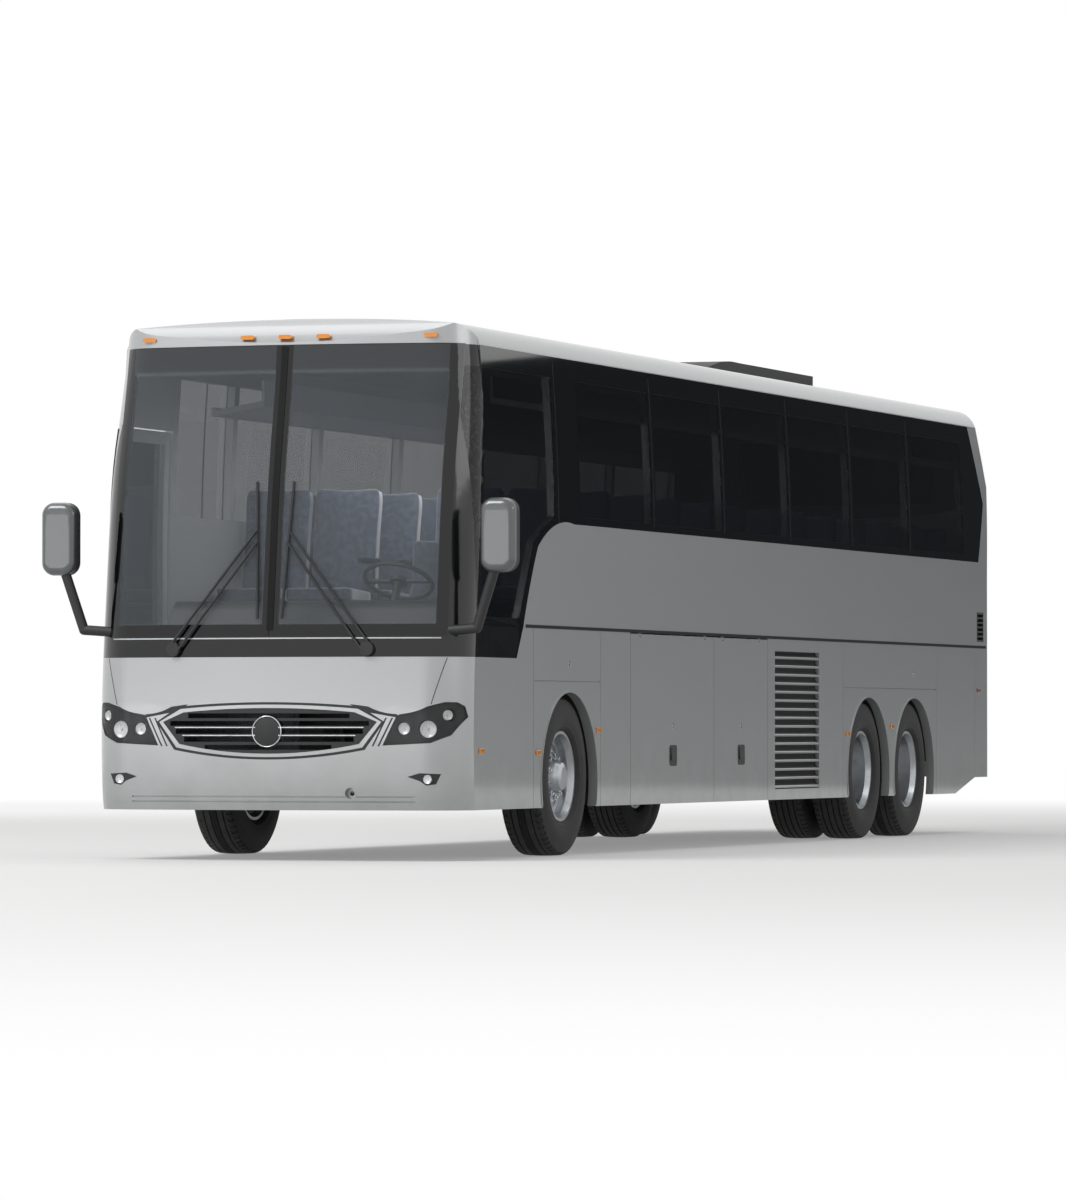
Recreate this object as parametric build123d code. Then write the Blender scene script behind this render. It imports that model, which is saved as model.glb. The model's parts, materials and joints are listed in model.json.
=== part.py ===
# A three-axle coach bus, 13.7 m long, as an assembly of separate pieces, in millimetres.
# The origin is on the ground under the middle; -Y is the front, +X the driver's side, +Z up.
from build123d import *
from math import atan2, cos, sin, sqrt
import os

# Overall sizes
LENGTH = 13720
WIDTH = 2590
FRONT_OVERHANG = 2350
WHEELBASE = 7500
TAG_SPACING = 1350

# Heights above the ground
SKIRT_Z = 330
REAR_SKIRT_Z = 460
PANEL_Z0 = 1040
PANEL_Z1 = 1325
GLASS_Z0 = 1460
BELT_Z = 1531
WINDOW_Z = 2240
GUTTER_Z = 3374
ROOF_Z = 3560
DECK_Z = 1390
CAB_FLOOR_Z = 1000

# Body shape
CORNER_RADIUS = 330
FRONT_RADIUS = 6500
REAR_CORNER = 170
REAR_SAGITTA = 40
GUTTER_INSET = 55
TUMBLE_Z = 2000
REAR_LEAN_Z = 2630
REAR_LEAN = 430
LOFT_MARGIN = 3
# Rows of the front's rake: height, set-back of the front face at the middle
RAKE = [(250, 66), (520, 10), (780, 0), (1030, 5), (1330, 28), (2000, 108), (2700, 210), (GUTTER_Z, 332),
        (3700, 398)]

# Thicknesses and gaps
WALL = 60
DOOR_WALL = 45
GLASS = 8
SEAM = 5
DOOR_GAP = 7
FIT = 0.3

# Tyres 315/80 R22.5 and their rims
TYRE_RADIUS = 538
TYRE_WIDTH = 315
BEAD_RADIUS = 290
BEAD_WIDTH = 226
LIP_RADIUS = 306
WHEEL_OUTER_X = 1265
DUAL_SPACING = 360
KINGPIN_X = 865
SPINDLE_RADIUS = 45

# Wheel arches
ARCH_RADIUS = 600
ARCH_TOP_Z = 1105
HOUSE_RADIUS = 690
HOUSE_INNER_X = 560

# Panel stations: distances from the front end or from an axle
CORNER_LENGTH = 420
DOOR_FRONT = 430
DOOR_LENGTH = 960
DOOR_TOP_Z = 2860
FRONT_PANEL_AHEAD = 770
ARCH_PANEL_BEHIND = 680
NARROW_PANEL = 680
LEFT_BAYS = [("luggage_door_left_1", 1990), ("luggage_door_left_2", 1370)]
RIGHT_BAYS = ["luggage_door_right_1", "luggage_door_right_2", "luggage_door_right_3"]
DRIVE_PANEL_AHEAD = 730
TAG_PANEL_BEHIND = 690
REAR_SIDE_LENGTH = 600

FRONT_Y = -LENGTH / 2
REAR_Y = LENGTH / 2
HALF = WIDTH / 2
AXLE_Z = TYRE_RADIUS
FRONT_AXLE_Y = FRONT_Y + FRONT_OVERHANG
DRIVE_AXLE_Y = FRONT_AXLE_Y + WHEELBASE
TAG_AXLE_Y = DRIVE_AXLE_Y + TAG_SPACING
TYRE_X = WHEEL_OUTER_X - TYRE_WIDTH / 2
CORNER_Y = FRONT_Y + CORNER_LENGTH
GUTTER_HALF = HALF - GUTTER_INSET
TUMBLE_RADIUS = ((GUTTER_Z - TUMBLE_Z) ** 2 + GUTTER_INSET ** 2) / (2 * GUTTER_INSET)
BAY_FRONT_Y = FRONT_AXLE_Y + ARCH_PANEL_BEHIND + NARROW_PANEL
BAY_REAR_Y = DRIVE_AXLE_Y - DRIVE_PANEL_AHEAD
DOOR_Y0 = FRONT_Y + DOOR_FRONT
DOOR_Y1 = DOOR_Y0 + DOOR_LENGTH

# Where cutting shapes start, outside the body
AHEAD_Y = FRONT_Y - 50
BEHIND_Y = REAR_Y + 5
OUTER_X = HALF + 10
SIDE_DEPTH_X = HALF - 300
UNDER_Z = SKIRT_Z - 90
OVER_Z = ROOF_Z + 5

parts = {}


def outline(*steps):
    """A face bounded by lines and arcs; a step is a point, or (through, end) for an arc."""
    edges = []
    here = steps[0]
    for step in steps[1:] + (steps[0],):
        if isinstance(step[0], tuple):
            edges.append(ThreePointArc(here, step[0], step[1]))
            here = step[1]
        elif step != here:
            edges.append(Line(here, step))
            here = step
    return make_face(edges)


def block(x0, x1, y0, y1, z0, z1):
    """A box between two corners."""
    middle = Pos((x0 + x1) / 2, (y0 + y1) / 2, (z0 + z1) / 2)
    return middle * Box(abs(x1 - x0), abs(y1 - y0), abs(z1 - z0))


def across(x0, x1, *steps):
    """A side view outline in (y, z), extruded across the bus from x0 to x1."""
    return extrude(Plane.YZ.offset(x0) * outline(*steps), amount=x1 - x0)


def along(y0, y1, *steps):
    """A front view outline in (x, z), extruded along the bus from y0 to y1."""
    return extrude(Plane.XZ.offset(-y0) * outline(*steps), amount=-(y1 - y0))


def upward(z0, z1, *steps):
    """A plan outline in (x, y), extruded from z0 up to z1."""
    return extrude(Plane.XY.offset(z0) * outline(*steps), amount=z1 - z0)


def rod(x, y, z, radius, length, axis):
    """A cylinder centred on a point, along X, Y or Z."""
    turn = {"X": Rot(0, 90, 0), "Y": Rot(90, 0, 0), "Z": Rot(0, 0, 0)}[axis]
    return Pos(x, y, z) * turn * Cylinder(radius, length)


def strut(start, end, radius):
    """A round bar from one point to another."""
    run = Vector(*end) - Vector(*start)
    return extrude(Plane(origin=start, z_dir=run) * Circle(radius), amount=run.length)


def both_sides(shape):
    """The shape and its mirror image about the middle of the bus."""
    return [shape, mirror(shape, about=Plane.YZ)]


def solids_of(*shapes):
    """The separate solids of several shapes, as a flat list."""
    found = []
    for shape in shapes:
        if isinstance(shape, (list, tuple, ShapeList)):
            found += solids_of(*shape)
        else:
            found += list(shape.solids())
    return found


def save(name, *shapes):
    """Keep a sub-part: one solid, or several that don't touch."""
    found = solids_of(*shapes)
    parts[name] = found[0] if len(found) == 1 else Compound(children=found)


def half_at(z):
    """Half the body's width at a height; the sides lean in above TUMBLE_Z."""
    if z <= TUMBLE_Z:
        return HALF
    return HALF - TUMBLE_RADIUS + sqrt(TUMBLE_RADIUS ** 2 - (z - TUMBLE_Z) ** 2)


def front_plan(set_back, half, corner, big):
    """The front's plan at one height: a long arc between two corner arcs."""
    front = FRONT_Y + set_back
    arc_y = front + big
    corner_x = half - corner
    corner_y = arc_y - sqrt((big - corner) ** 2 - corner_x ** 2)
    share = big / (big - corner)
    meet = (corner_x * share, arc_y + (corner_y - arc_y) * share)
    turn = atan2(meet[1] - corner_y, meet[0] - corner_x) / 2
    middle = (corner_x + corner * cos(turn), corner_y + corner * sin(turn))
    back = FRONT_AXLE_Y
    return outline((half, back), (half, corner_y), (middle, meet), ((0, front), (-meet[0], meet[1])),
                   ((-middle[0], middle[1]), (-half, corner_y)), (-half, back))


def front_depth(x):
    """How far the front's widest plan lies behind FRONT_Y at a distance x from the middle."""
    corner_x = HALF - CORNER_RADIUS
    if abs(x) < corner_x * FRONT_RADIUS / (FRONT_RADIUS - CORNER_RADIUS):
        return FRONT_RADIUS - sqrt(FRONT_RADIUS ** 2 - x ** 2)
    corner_depth = FRONT_RADIUS - sqrt((FRONT_RADIUS - CORNER_RADIUS) ** 2 - corner_x ** 2)
    return corner_depth - sqrt(CORNER_RADIUS ** 2 - (abs(x) - corner_x) ** 2)


def rake_at(z):
    """How far the front leans back at a height, between the rows of RAKE."""
    for (low, back), (high, next_back) in zip(RAKE, RAKE[1:]):
        if z <= high:
            return back + (next_back - back) * (z - low) / (high - low)
    return RAKE[-1][1]


def section(inset):
    """The body's cross-section, with rounded roof edges, inset by a wall."""
    half = HALF - inset
    gutter = GUTTER_HALF - inset
    lean_z = (TUMBLE_Z + GUTTER_Z) / 2
    lean = half_at(lean_z) - inset
    edge = (gutter - 55, GUTTER_Z + 95 - inset)
    roof = (gutter - 170, GUTTER_Z + 138 - inset)
    return outline((-half, UNDER_Z), (half, UNDER_Z), (half, TUMBLE_Z),
                   ((lean, lean_z), (gutter, GUTTER_Z)), (edge, roof),
                   ((0, ROOF_Z - inset), (-roof[0], roof[1])), ((-edge[0], edge[1]), (-gutter, GUTTER_Z)),
                   ((-lean, lean_z), (-half, TUMBLE_Z)))


def tube(inset, y0, y1):
    """The cross-section as a prism between two stations."""
    return extrude(Plane.XZ.offset(-y0) * section(inset), amount=-(y1 - y0))


def front_body(inset):
    """The front end as a solid, raked, rounded at its corners and at the roof's front."""
    half = [half_at(z) - inset + LOFT_MARGIN for z, _ in RAKE]
    plans = [Pos(0, 0, z) * front_plan(back + inset, half[i], CORNER_RADIUS - inset, FRONT_RADIUS - inset)
             for i, (z, back) in enumerate(RAKE)]
    brow = FRONT_Y + 332 + inset
    cap = across(-HALF, HALF, (AHEAD_Y, SKIRT_Z), (FRONT_AXLE_Y, SKIRT_Z), (FRONT_AXLE_Y, ROOF_Z - inset),
                 (brow + 520, ROOF_Z - inset), ((brow + 175, ROOF_Z - 45 - inset), (brow - 12, GUTTER_Z)),
                 (AHEAD_Y, GUTTER_Z - 60))
    return loft(plans) & tube(inset, AHEAD_Y, FRONT_AXLE_Y) & cap


def rear_body(inset):
    """The rear end as a solid, rounded in plan and leaning forward above REAR_LEAN_Z."""
    rear = REAR_Y - inset
    side = rear - REAR_SAGITTA
    half = HALF - inset
    corner = REAR_CORNER - inset
    start = TAG_AXLE_Y
    plan = upward(SKIRT_Z, ROOF_Z, (-half, start), (half, start), (half, side - corner),
                  ((half - 0.29 * corner, side - 0.29 * corner), (half - corner, side)),
                  ((0, rear), (corner - half, side)), ((0.29 * corner - half, side - 0.29 * corner),
                                                       (-half, side - corner)))
    lean = across(-HALF, HALF, (start, REAR_SKIRT_Z), (rear + 50, REAR_SKIRT_Z), (rear + 50, REAR_LEAN_Z),
                  (rear, REAR_LEAN_Z), (rear - REAR_LEAN, GUTTER_Z + 126), (rear - REAR_LEAN - 100, ROOF_Z),
                  (start, ROOF_Z))
    return plan & tube(inset, start, REAR_Y + 50) & lean


def cut_all(shape, cutters):
    """The shape with a list of cutters taken off."""
    for cutter in cutters:
        shape = shape - cutter
    return shape


front_solid = front_body(0)
front_shell = front_solid - front_body(WALL)
rear_solid = rear_body(0)
rear_shell = rear_solid - rear_body(WALL)
front_core = front_body(GLASS)
front_skin = front_solid - front_core
rear_skin = rear_solid - rear_body(GLASS)


# The left glass band: where the rear edge of its front part starts, crosses the belt and turns backwards
BAND_FOOT_Y = FRONT_Y + 1230
BAND_BELT_Y = FRONT_Y + 1370
BAND_HIP = (FRONT_Y + 1680, 2075)
BAND_END_Y = FRONT_Y + 2460
BAND_EDGE = 6
REAR_BAND_TOP_Y = REAR_Y - REAR_LEAN - 210
# The rear end of both bands, from the window line up to the gutter
BAND_TAIL = [(REAR_Y - 470, WINDOW_Z + BAND_EDGE), (REAR_Y - 262, 2740),
             (REAR_BAND_TOP_Y, GUTTER_Z - BAND_EDGE)]


def glass_band():
    """The left side's glass band in side view, with the driver's window dropping ahead of it."""
    return [(CORNER_Y, PANEL_Z1), (BAND_FOOT_Y, PANEL_Z1), (BAND_BELT_Y, BELT_Z),
            ((FRONT_Y + 1500, 1790), BAND_HIP), ((FRONT_Y + 1925, 2192), (BAND_END_Y, WINDOW_Z + BAND_EDGE)),
            *BAND_TAIL, (CORNER_Y, GUTTER_Z - BAND_EDGE)]


# Left and right side walls above the belt, with the glass let in flush and the windows cut
MIDDLE_Y0 = FRONT_Y + 640
MIDDLE_Y1 = REAR_Y - 700
wall_tube = tube(0, MIDDLE_Y0, MIDDLE_Y1) - tube(WALL, MIDDLE_Y0 - 1, MIDDLE_Y1 + 1)
skin_tube = tube(0, MIDDLE_Y0, MIDDLE_Y1) - tube(GLASS, MIDDLE_Y0 - 1, MIDDLE_Y1 + 1)
cab_band = block(-HALF, HALF, FRONT_Y, MIDDLE_Y0, UNDER_Z, ROOF_Z)
tail_band = block(-HALF, HALF, MIDDLE_Y1, REAR_Y, UNDER_Z, ROOF_Z)
whole_shell = (front_shell & cab_band) + wall_tube + (rear_shell & tail_band)
whole_skin = (front_skin & cab_band) + skin_tube + (rear_skin & tail_band)

# Side wall outline: from the corner seam to the rear wall's seam, which follows the lean
REAR_SEAM_Y = REAR_Y - 300
SEAM_TOP_Y = REAR_SEAM_Y - REAR_LEAN * 0.855
side_area = [(CORNER_Y, BELT_Z), (REAR_SEAM_Y, BELT_Z), (REAR_SEAM_Y, REAR_LEAN_Z), (SEAM_TOP_Y, GUTTER_Z),
             (CORNER_Y, GUTTER_Z)]

# The windscreen's own zone reaches past the corner seam, because the screen rakes back, up to the doorway
GLASS_HALF = 1175
doorway = block(-OUTER_X, -SIDE_DEPTH_X, DOOR_Y0 - DOOR_GAP, DOOR_Y1 + DOOR_GAP, UNDER_Z,
                DOOR_TOP_Z + DOOR_GAP)
screen_zone = block(-GLASS_HALF - 5, GLASS_HALF + 5, AHEAD_Y, CORNER_Y + 260, PANEL_Z1, GUTTER_Z) - doorway

# Window openings: sill, head, and posts between them
SILL_Z = WINDOW_Z + 60
HEAD_Z = GUTTER_Z - 150
POST = 90
PANES = 6
PANE_FRONT = FRONT_Y + 2560
PANE_REAR = REAR_Y - 900
PANE = (PANE_REAR - PANE_FRONT) / PANES


def window_row(sign):
    """Openings through one side wall, one behind each pane."""
    return [block(sign * (HALF - 200), sign * OUTER_X, PANE_FRONT + i * PANE + POST / 2,
                  PANE_FRONT + (i + 1) * PANE - POST / 2, SILL_Z, HEAD_Z) for i in range(PANES)]


def pane_gaps(sign):
    """Thin gaps that part the glass band into its panes."""
    stations = [FRONT_Y + 2130] + [PANE_FRONT + i * PANE for i in range(1, PANES)]
    return [block(sign * (HALF - 200), sign * OUTER_X, y - SEAM / 2, y + SEAM / 2, BELT_Z, GUTTER_Z)
            for y in stations]


left_skin = (whole_skin & across(SIDE_DEPTH_X, OUTER_X, *glass_band())) - screen_zone
left_glass = cut_all(left_skin, pane_gaps(1))
driver_opening = across(SIDE_DEPTH_X, OUTER_X, (CORNER_Y + 90, BELT_Z + 60),
                        (BAND_BELT_Y - 60, BELT_Z + 60), (BAND_HIP[0] - 60, BAND_HIP[1] + 40),
                        (FRONT_Y + 2060, 2290), (FRONT_Y + 2060, HEAD_Z), (CORNER_Y + 260, HEAD_Z))
left_wall = whole_shell & across(SIDE_DEPTH_X, OUTER_X, *side_area)
left_wall = cut_all(left_wall - left_skin, window_row(1) + [driver_opening, screen_zone])

right_band = [(DOOR_Y1 + 60, WINDOW_Z + BAND_EDGE), *BAND_TAIL, (DOOR_Y1 + 60, GUTTER_Z - BAND_EDGE)]
right_skin = whole_skin & across(-OUTER_X, -SIDE_DEPTH_X, *right_band)
right_glass = cut_all(right_skin, pane_gaps(-1))
side_opening = block(-OUTER_X, 200 - HALF, DOOR_Y1 + 110, PANE_FRONT - POST / 2, SILL_Z, HEAD_Z)
right_wall = whole_shell & across(-OUTER_X, -SIDE_DEPTH_X, *side_area)
right_wall = cut_all(right_wall - right_skin, window_row(-1) + [doorway, side_opening, screen_zone])
save("side_glass", left_glass, right_glass)


# Lower panels: fixed ones hang from the wall above and stand 5 mm apart
def arch_cut(y, sign):
    """The round wheel opening over one axle."""
    return Pos(sign * HALF, y, ARCH_TOP_Z - ARCH_RADIUS) * Rot(0, 90, 0) * Cylinder(ARCH_RADIUS, 4 * WALL)


def lower_panel(sign, y0, y1, z0=SKIRT_Z):
    """A flat outer panel between two stations, from the skirt to the belt."""
    return block(sign * (HALF - WALL), sign * HALF, y0 + SEAM / 2, y1 - SEAM / 2, z0, BELT_Z)


ARCH_PANEL_Y0 = FRONT_AXLE_Y - FRONT_PANEL_AHEAD
ARCH_PANEL_Y1 = FRONT_AXLE_Y + ARCH_PANEL_BEHIND
TAIL_Y0 = TAG_AXLE_Y + TAG_PANEL_BEHIND
TAIL_Y1 = REAR_Y - REAR_SIDE_LENGTH
KICK_Y = REAR_Y - 1230
FENDER_Z = 1180
GROOVE = 14
LOCK_Z = 1300
LOCK_RADIUS = 22


def fender(sign, y0, y1, axles):
    """A panel over some axles' wheels, with a groove above the arches and a round lock over each axle."""
    cutters = [block(sign * (HALF - GROOVE), sign * (HALF + 1), y0, y1, FENDER_Z - SEAM / 2,
                     FENDER_Z + SEAM / 2)]
    for y in axles:
        cutters += [arch_cut(y, sign), rod(sign * HALF, y, LOCK_Z, LOCK_RADIUS, 2 * GROOVE, "X")]
    return lower_panel(sign, y0, y1) - cutters


def common_panels(sign):
    """The panels that both sides have: over the front wheel, over the rear wheels, and the rising tail."""
    front = fender(sign, ARCH_PANEL_Y0, ARCH_PANEL_Y1, [FRONT_AXLE_Y])
    rear = fender(sign, BAY_REAR_Y, TAIL_Y0, [DRIVE_AXLE_Y, TAG_AXLE_Y])
    kick = across(sign * (HALF - 100), sign * OUTER_X, (KICK_Y, UNDER_Z), (REAR_Y, UNDER_Z),
                  (REAR_Y, REAR_SKIRT_Z), (TAIL_Y1, REAR_SKIRT_Z), (KICK_Y, SKIRT_Z))
    return [front, rear, lower_panel(sign, TAIL_Y0, TAIL_Y1) - kick]


louvre_y0 = BAY_FRONT_Y + sum(width for _, width in LEFT_BAYS)
LOUVRE_MARGIN = 190
LOUVRE_LENGTH = 1190
LOUVRE_Z0 = 410
LOUVRE_Z1 = 1440
LOUVRE_COUNT = 16
louvre_panel = lower_panel(1, louvre_y0, BAY_REAR_Y)
louvre_a = louvre_y0 + LOUVRE_MARGIN
louvre_b = louvre_a + LOUVRE_LENGTH
louvre_panel = louvre_panel - block(HALF - 30, OUTER_X, louvre_a, louvre_b, LOUVRE_Z0, LOUVRE_Z1)
pitch = (LOUVRE_Z1 - LOUVRE_Z0) / LOUVRE_COUNT
slats = []
for i in range(LOUVRE_COUNT):
    z = LOUVRE_Z0 + i * pitch
    slats.append(along(louvre_a, louvre_b, (HALF - 31, z + 4), (HALF - 2, z + 8), (HALF - 2, z + 20),
                       (HALF - 31, z + 50)))
louvre_panel = louvre_panel + slats

cab_side = block(HALF - WALL, OUTER_X, CORNER_Y, ARCH_PANEL_Y0 - SEAM / 2, SKIRT_Z, BELT_Z) & whole_shell
cab_side = cab_side - left_skin

# Air intakes at the rear corners: a small one over the belt on the left, a tall one under it on the right
INTAKE_BORDER = 14
INTAKE_PITCH = 38
INTAKE_DEPTH = 40
# Intakes: side, stations and heights
INTAKES = [(1, REAR_Y - 530, REAR_SEAM_Y - 12, 1585, 1830), (-1, REAR_Y - 540, REAR_Y - 250, 760, 1410)]


def intake(sign, y0, y1, z0, z1):
    """The hole for an air intake, and its body with a slot between each two slats."""
    hole = block(sign * (HALF - WALL), sign * HALF, y0, y1, z0, z1)
    count = int((z1 - z0 - INTAKE_BORDER) / INTAKE_PITCH)
    slots = []
    for i in range(count):
        z = z0 + INTAKE_BORDER + i * INTAKE_PITCH
        slots.append(block(sign * (HALF - INTAKE_DEPTH), sign * OUTER_X, y0 + INTAKE_BORDER,
                           y1 - INTAKE_BORDER, z, z + 24))
    return hole, hole - slots


intake_holes = []
intake_bodies = []
for sign, y0, y1, z0, z1 in INTAKES:
    hole, body = intake(sign, y0, y1, z0, z1)
    intake_holes.append(hole)
    intake_bodies.append(body)
left_wall = left_wall - intake_holes[0]
save("air_intake", intake_bodies)
save("side_wall_left", left_wall)
save("side_wall_right", right_wall)
save("lower_panels_left", cab_side, common_panels(1), louvre_panel,
     lower_panel(1, ARCH_PANEL_Y1, BAY_FRONT_Y))
RIGHT_BAY_Y = ARCH_PANEL_Y1 + 200
door_post = lower_panel(-1, DOOR_Y1 + DOOR_GAP, ARCH_PANEL_Y0)
save("lower_panels_right", door_post, common_panels(-1), lower_panel(-1, ARCH_PANEL_Y1, RIGHT_BAY_Y))

# Luggage doors hang on pins under the belt; each pin runs through a lug of the wall
HINGE_X = HALF - 7
HINGE_Z = BELT_Z - 16
PIN_RADIUS = 4
LUG = 30
DOOR_HEAD_Z = HINGE_Z + 7
HANDLE_Z = 670
HANDLE_POCKET = (24, 60, 130)
DOOR_LOCK_Z = 880


def side_door(name, sign, y0, y1):
    """A top-hinged panel and the wall's lugs for it."""
    door = block(sign * (HALF - DOOR_WALL), sign * HALF, y0 + DOOR_GAP / 2, y1 - DOOR_GAP / 2, SKIRT_Z,
                 DOOR_HEAD_Z)
    lugs = []
    for y in (y0 + 220, y1 - 220):
        door = door - block(sign * (HALF - 20), sign * (HALF + 5), y - LUG / 2 - 4, y + LUG / 2 + 4,
                            HINGE_Z - 14, BELT_Z)
        door = door + rod(sign * HINGE_X, y, HINGE_Z, PIN_RADIUS, LUG + 10, "Y")
        lug = block(sign * (HALF - 14), sign * HALF, y - LUG / 2, y + LUG / 2, HINGE_Z - 7, BELT_Z + 1)
        lugs.append(lug - rod(sign * HINGE_X, y, HINGE_Z, PIN_RADIUS + FIT, LUG + 10, "Y"))
    middle = (y0 + y1) / 2
    pocket = Pos(sign * HALF, middle, HANDLE_Z) * Box(*HANDLE_POCKET)
    save(name, door - [pocket, rod(sign * HALF, middle, DOOR_LOCK_Z, LOCK_RADIUS, 2 * GROOVE, "X")])
    return lugs


lugs_left = []
station = BAY_FRONT_Y
for name, width in LEFT_BAYS:
    lugs_left += side_door(name, 1, station, station + width)
    station += width
lugs_right = []
right_bay = (BAY_REAR_Y - RIGHT_BAY_Y) / len(RIGHT_BAYS)
for i, name in enumerate(RIGHT_BAYS):
    lugs_right += side_door(name, -1, RIGHT_BAY_Y + i * right_bay, RIGHT_BAY_Y + (i + 1) * right_bay)
parts["side_wall_left"] = parts["side_wall_left"] + lugs_left
parts["side_wall_right"] = parts["side_wall_right"] + lugs_right

# Entrance door, hinged on its front edge, with a tall pane
door_shell = (front_solid & cab_band) + (tube(0, MIDDLE_Y0, MIDDLE_Y0 + 1500)
                                         - tube(WALL, MIDDLE_Y0 - 1, MIDDLE_Y0 + 1501))
door_hollow = (front_body(DOOR_WALL) & cab_band) + tube(DOOR_WALL, MIDDLE_Y0, MIDDLE_Y0 + 1501)
door_area = block(-OUTER_X, 400 - HALF, DOOR_Y0, DOOR_Y1, SKIRT_Z + 20, DOOR_TOP_Z)
door_leaf = (door_shell - door_hollow) & door_area
DOOR_FRAME = 85
PANE_Z0 = 700
door_window = block(-OUTER_X, 400 - HALF, DOOR_Y0 + DOOR_FRAME, DOOR_Y1 - DOOR_FRAME, PANE_Z0,
                    DOOR_TOP_Z - DOOR_FRAME)
door_skin = whole_skin & block(-OUTER_X, 400 - HALF, DOOR_Y0 + 40, DOOR_Y1 - 40, PANE_Z0 - 45,
                               DOOR_TOP_Z - 40)
door_leaf = door_leaf - door_skin - door_window
DOOR_HINGE_X = HALF - 9
DOOR_HINGE_Y = DOOR_Y0 + 9
door_lugs = []
for z in (560, 1270):
    door_leaf = door_leaf - block(-HALF - 5, 26 - HALF, DOOR_Y0 - 5, DOOR_Y0 + 26, z - LUG / 2 - 4,
                                  z + LUG / 2 + 4)
    door_leaf = door_leaf + rod(-DOOR_HINGE_X, DOOR_HINGE_Y, z, PIN_RADIUS + 1, LUG + 10, "Z")
    lug = block(-HALF + 1, 18 - HALF, CORNER_Y - 1, DOOR_Y0 + 17, z - LUG / 2, z + LUG / 2)
    door_lugs.append(lug - rod(-DOOR_HINGE_X, DOOR_HINGE_Y, z, PIN_RADIUS + 1 + FIT, LUG + 10, "Z"))
save("entrance_door", door_leaf - Pos(-HALF, DOOR_Y1 - DOOR_FRAME / 2, 1120) * Box(24, 46, 130))
save("entrance_door_glass", door_skin)

# Towing sockets: a round recess in the skin, and behind it a tube with a bore for the towing eye
TOW_X = 560
FRONT_TOW_Z = 440
REAR_TOW_Z = 600
FRONT_TOW_DEPTH = 80
REAR_TOW_DEPTH = 40
TOW_BORE = 16
TOW_LENGTH = 80


def with_tow_socket(skin, face_y, z, inward):
    """The skin with a towing socket whose outer face lies at face_y; inward is the Y sign into the bus."""
    recess = rod(TOW_X, face_y - inward * 50, z, TOW_BORE + 20, 100, "Y")
    socket = rod(TOW_X, face_y + inward * TOW_LENGTH / 2, z, TOW_BORE + 14, TOW_LENGTH, "Y")
    return skin - recess + socket - rod(TOW_X, face_y, z, TOW_BORE, 400, "Y")


# Front end: the panel over the brow line, the bumper, the lamps and the grille
nose = front_shell & block(-HALF, HALF, AHEAD_Y, CORNER_Y, UNDER_Z, ROOF_Z)
NOSE_REAR = FRONT_Y + 300
# The brow line in front view: its top at the middle, and each side's shoulder, dip and end
BROW_Z = 1052
BROW_SHOULDER = (684, 1003)
BROW_DIP = (860, 955)
BROW_END = (1090, 1015)


panel_area = along(AHEAD_Y, NOSE_REAR, (-1178, PANEL_Z1 - FIT), (-BROW_END[0], BROW_END[1]),
                   ((-BROW_DIP[0], BROW_DIP[1]), (-BROW_SHOULDER[0], BROW_SHOULDER[1])),
                   ((0, BROW_Z), BROW_SHOULDER), (BROW_DIP, BROW_END), (1178, PANEL_Z1 - FIT))
front_panel = nose & panel_area
save("front_panel", front_panel)


def hexagon(grow):
    """The grille's six-sided opening with its bowed top and bottom, grown all round."""
    return along(AHEAD_Y, NOSE_REAR, (-594 - grow, 966 + grow), ((0, 994 + grow), (594 + grow, 966 + grow)),
                 (744 + 1.25 * grow, 904), (624 + grow, 760 - grow),
                 ((0, 697 - grow), (-624 - grow, 760 - grow)), (-744 - 1.25 * grow, 904))


def stripe(x_top, x_foot, width):
    """A slanting stripe between the grille and a head lamp, on the left side."""
    return along(AHEAD_Y, NOSE_REAR, (x_top, 930), (x_foot, 745), (x_foot + width, 745),
                 (x_top + width, 930))


# Grille: a ring of bodywork round the opening, a black surround let into the skin, bars and a plain boss
RING = 22
SURROUND = 16
STRIPE = 12
wing = along(AHEAD_Y, NOSE_REAR, (560, 1016), (700, 962), (872, 932), (876, 975), (684, 1030))
dark_lines = [hexagon(RING + SURROUND) - hexagon(RING), *both_sides(wing - hexagon(RING))]
for x_top, x_foot in ((797, 708), (838, 746)):
    dark_lines += both_sides(stripe(x_top, x_foot, STRIPE))
inlays = []
for line in dark_lines:
    inlays += solids_of((front_skin & line) - front_panel)
SLOT_HEIGHT = 32
# Rows of the grille's slots: height and half-length
GRILLE_SLOTS = [(738, 440), (790, 590), (842, 650), (894, 690), (944, 560)]
BOSS_RADIUS = 104
BOSS_Z = 842
slots = [block(-half, half, AHEAD_Y, NOSE_REAR, z - SLOT_HEIGHT / 2, z + SLOT_HEIGHT / 2)
         for z, half in GRILLE_SLOTS]
boss = rod(0, FRONT_Y + 24, BOSS_Z, BOSS_RADIUS, 60, "Y")
bars = ((nose & hexagon(0)) - slots) + boss

# Head lamps: a clear cover flush with the nose, and a black housing behind it with three round bowls
LAMP_AREA = [(778, 750), (1090, 766), (1206, 816), (1280, 935), (1268, 1004), (1236, 1030), (1172, 1032),
             (872, 946)]
# Bowls: distance from the middle, height and radius
BOWLS = [(915, 860, 41), (1067, 856, 58), (1190, 947, 41)]
BOWL_DEPTH = 48
lamp_block = (nose & along(AHEAD_Y, CORNER_Y - 60, *LAMP_AREA)) - front_panel
for line in dark_lines:
    lamp_block = lamp_block - line
bowls = [rod(x, FRONT_Y + front_depth(x), z, radius, 2 * BOWL_DEPTH, "Y") for x, z, radius in BOWLS]
cover = lamp_block - front_core
housing = (lamp_block & front_core) - bowls

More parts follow.
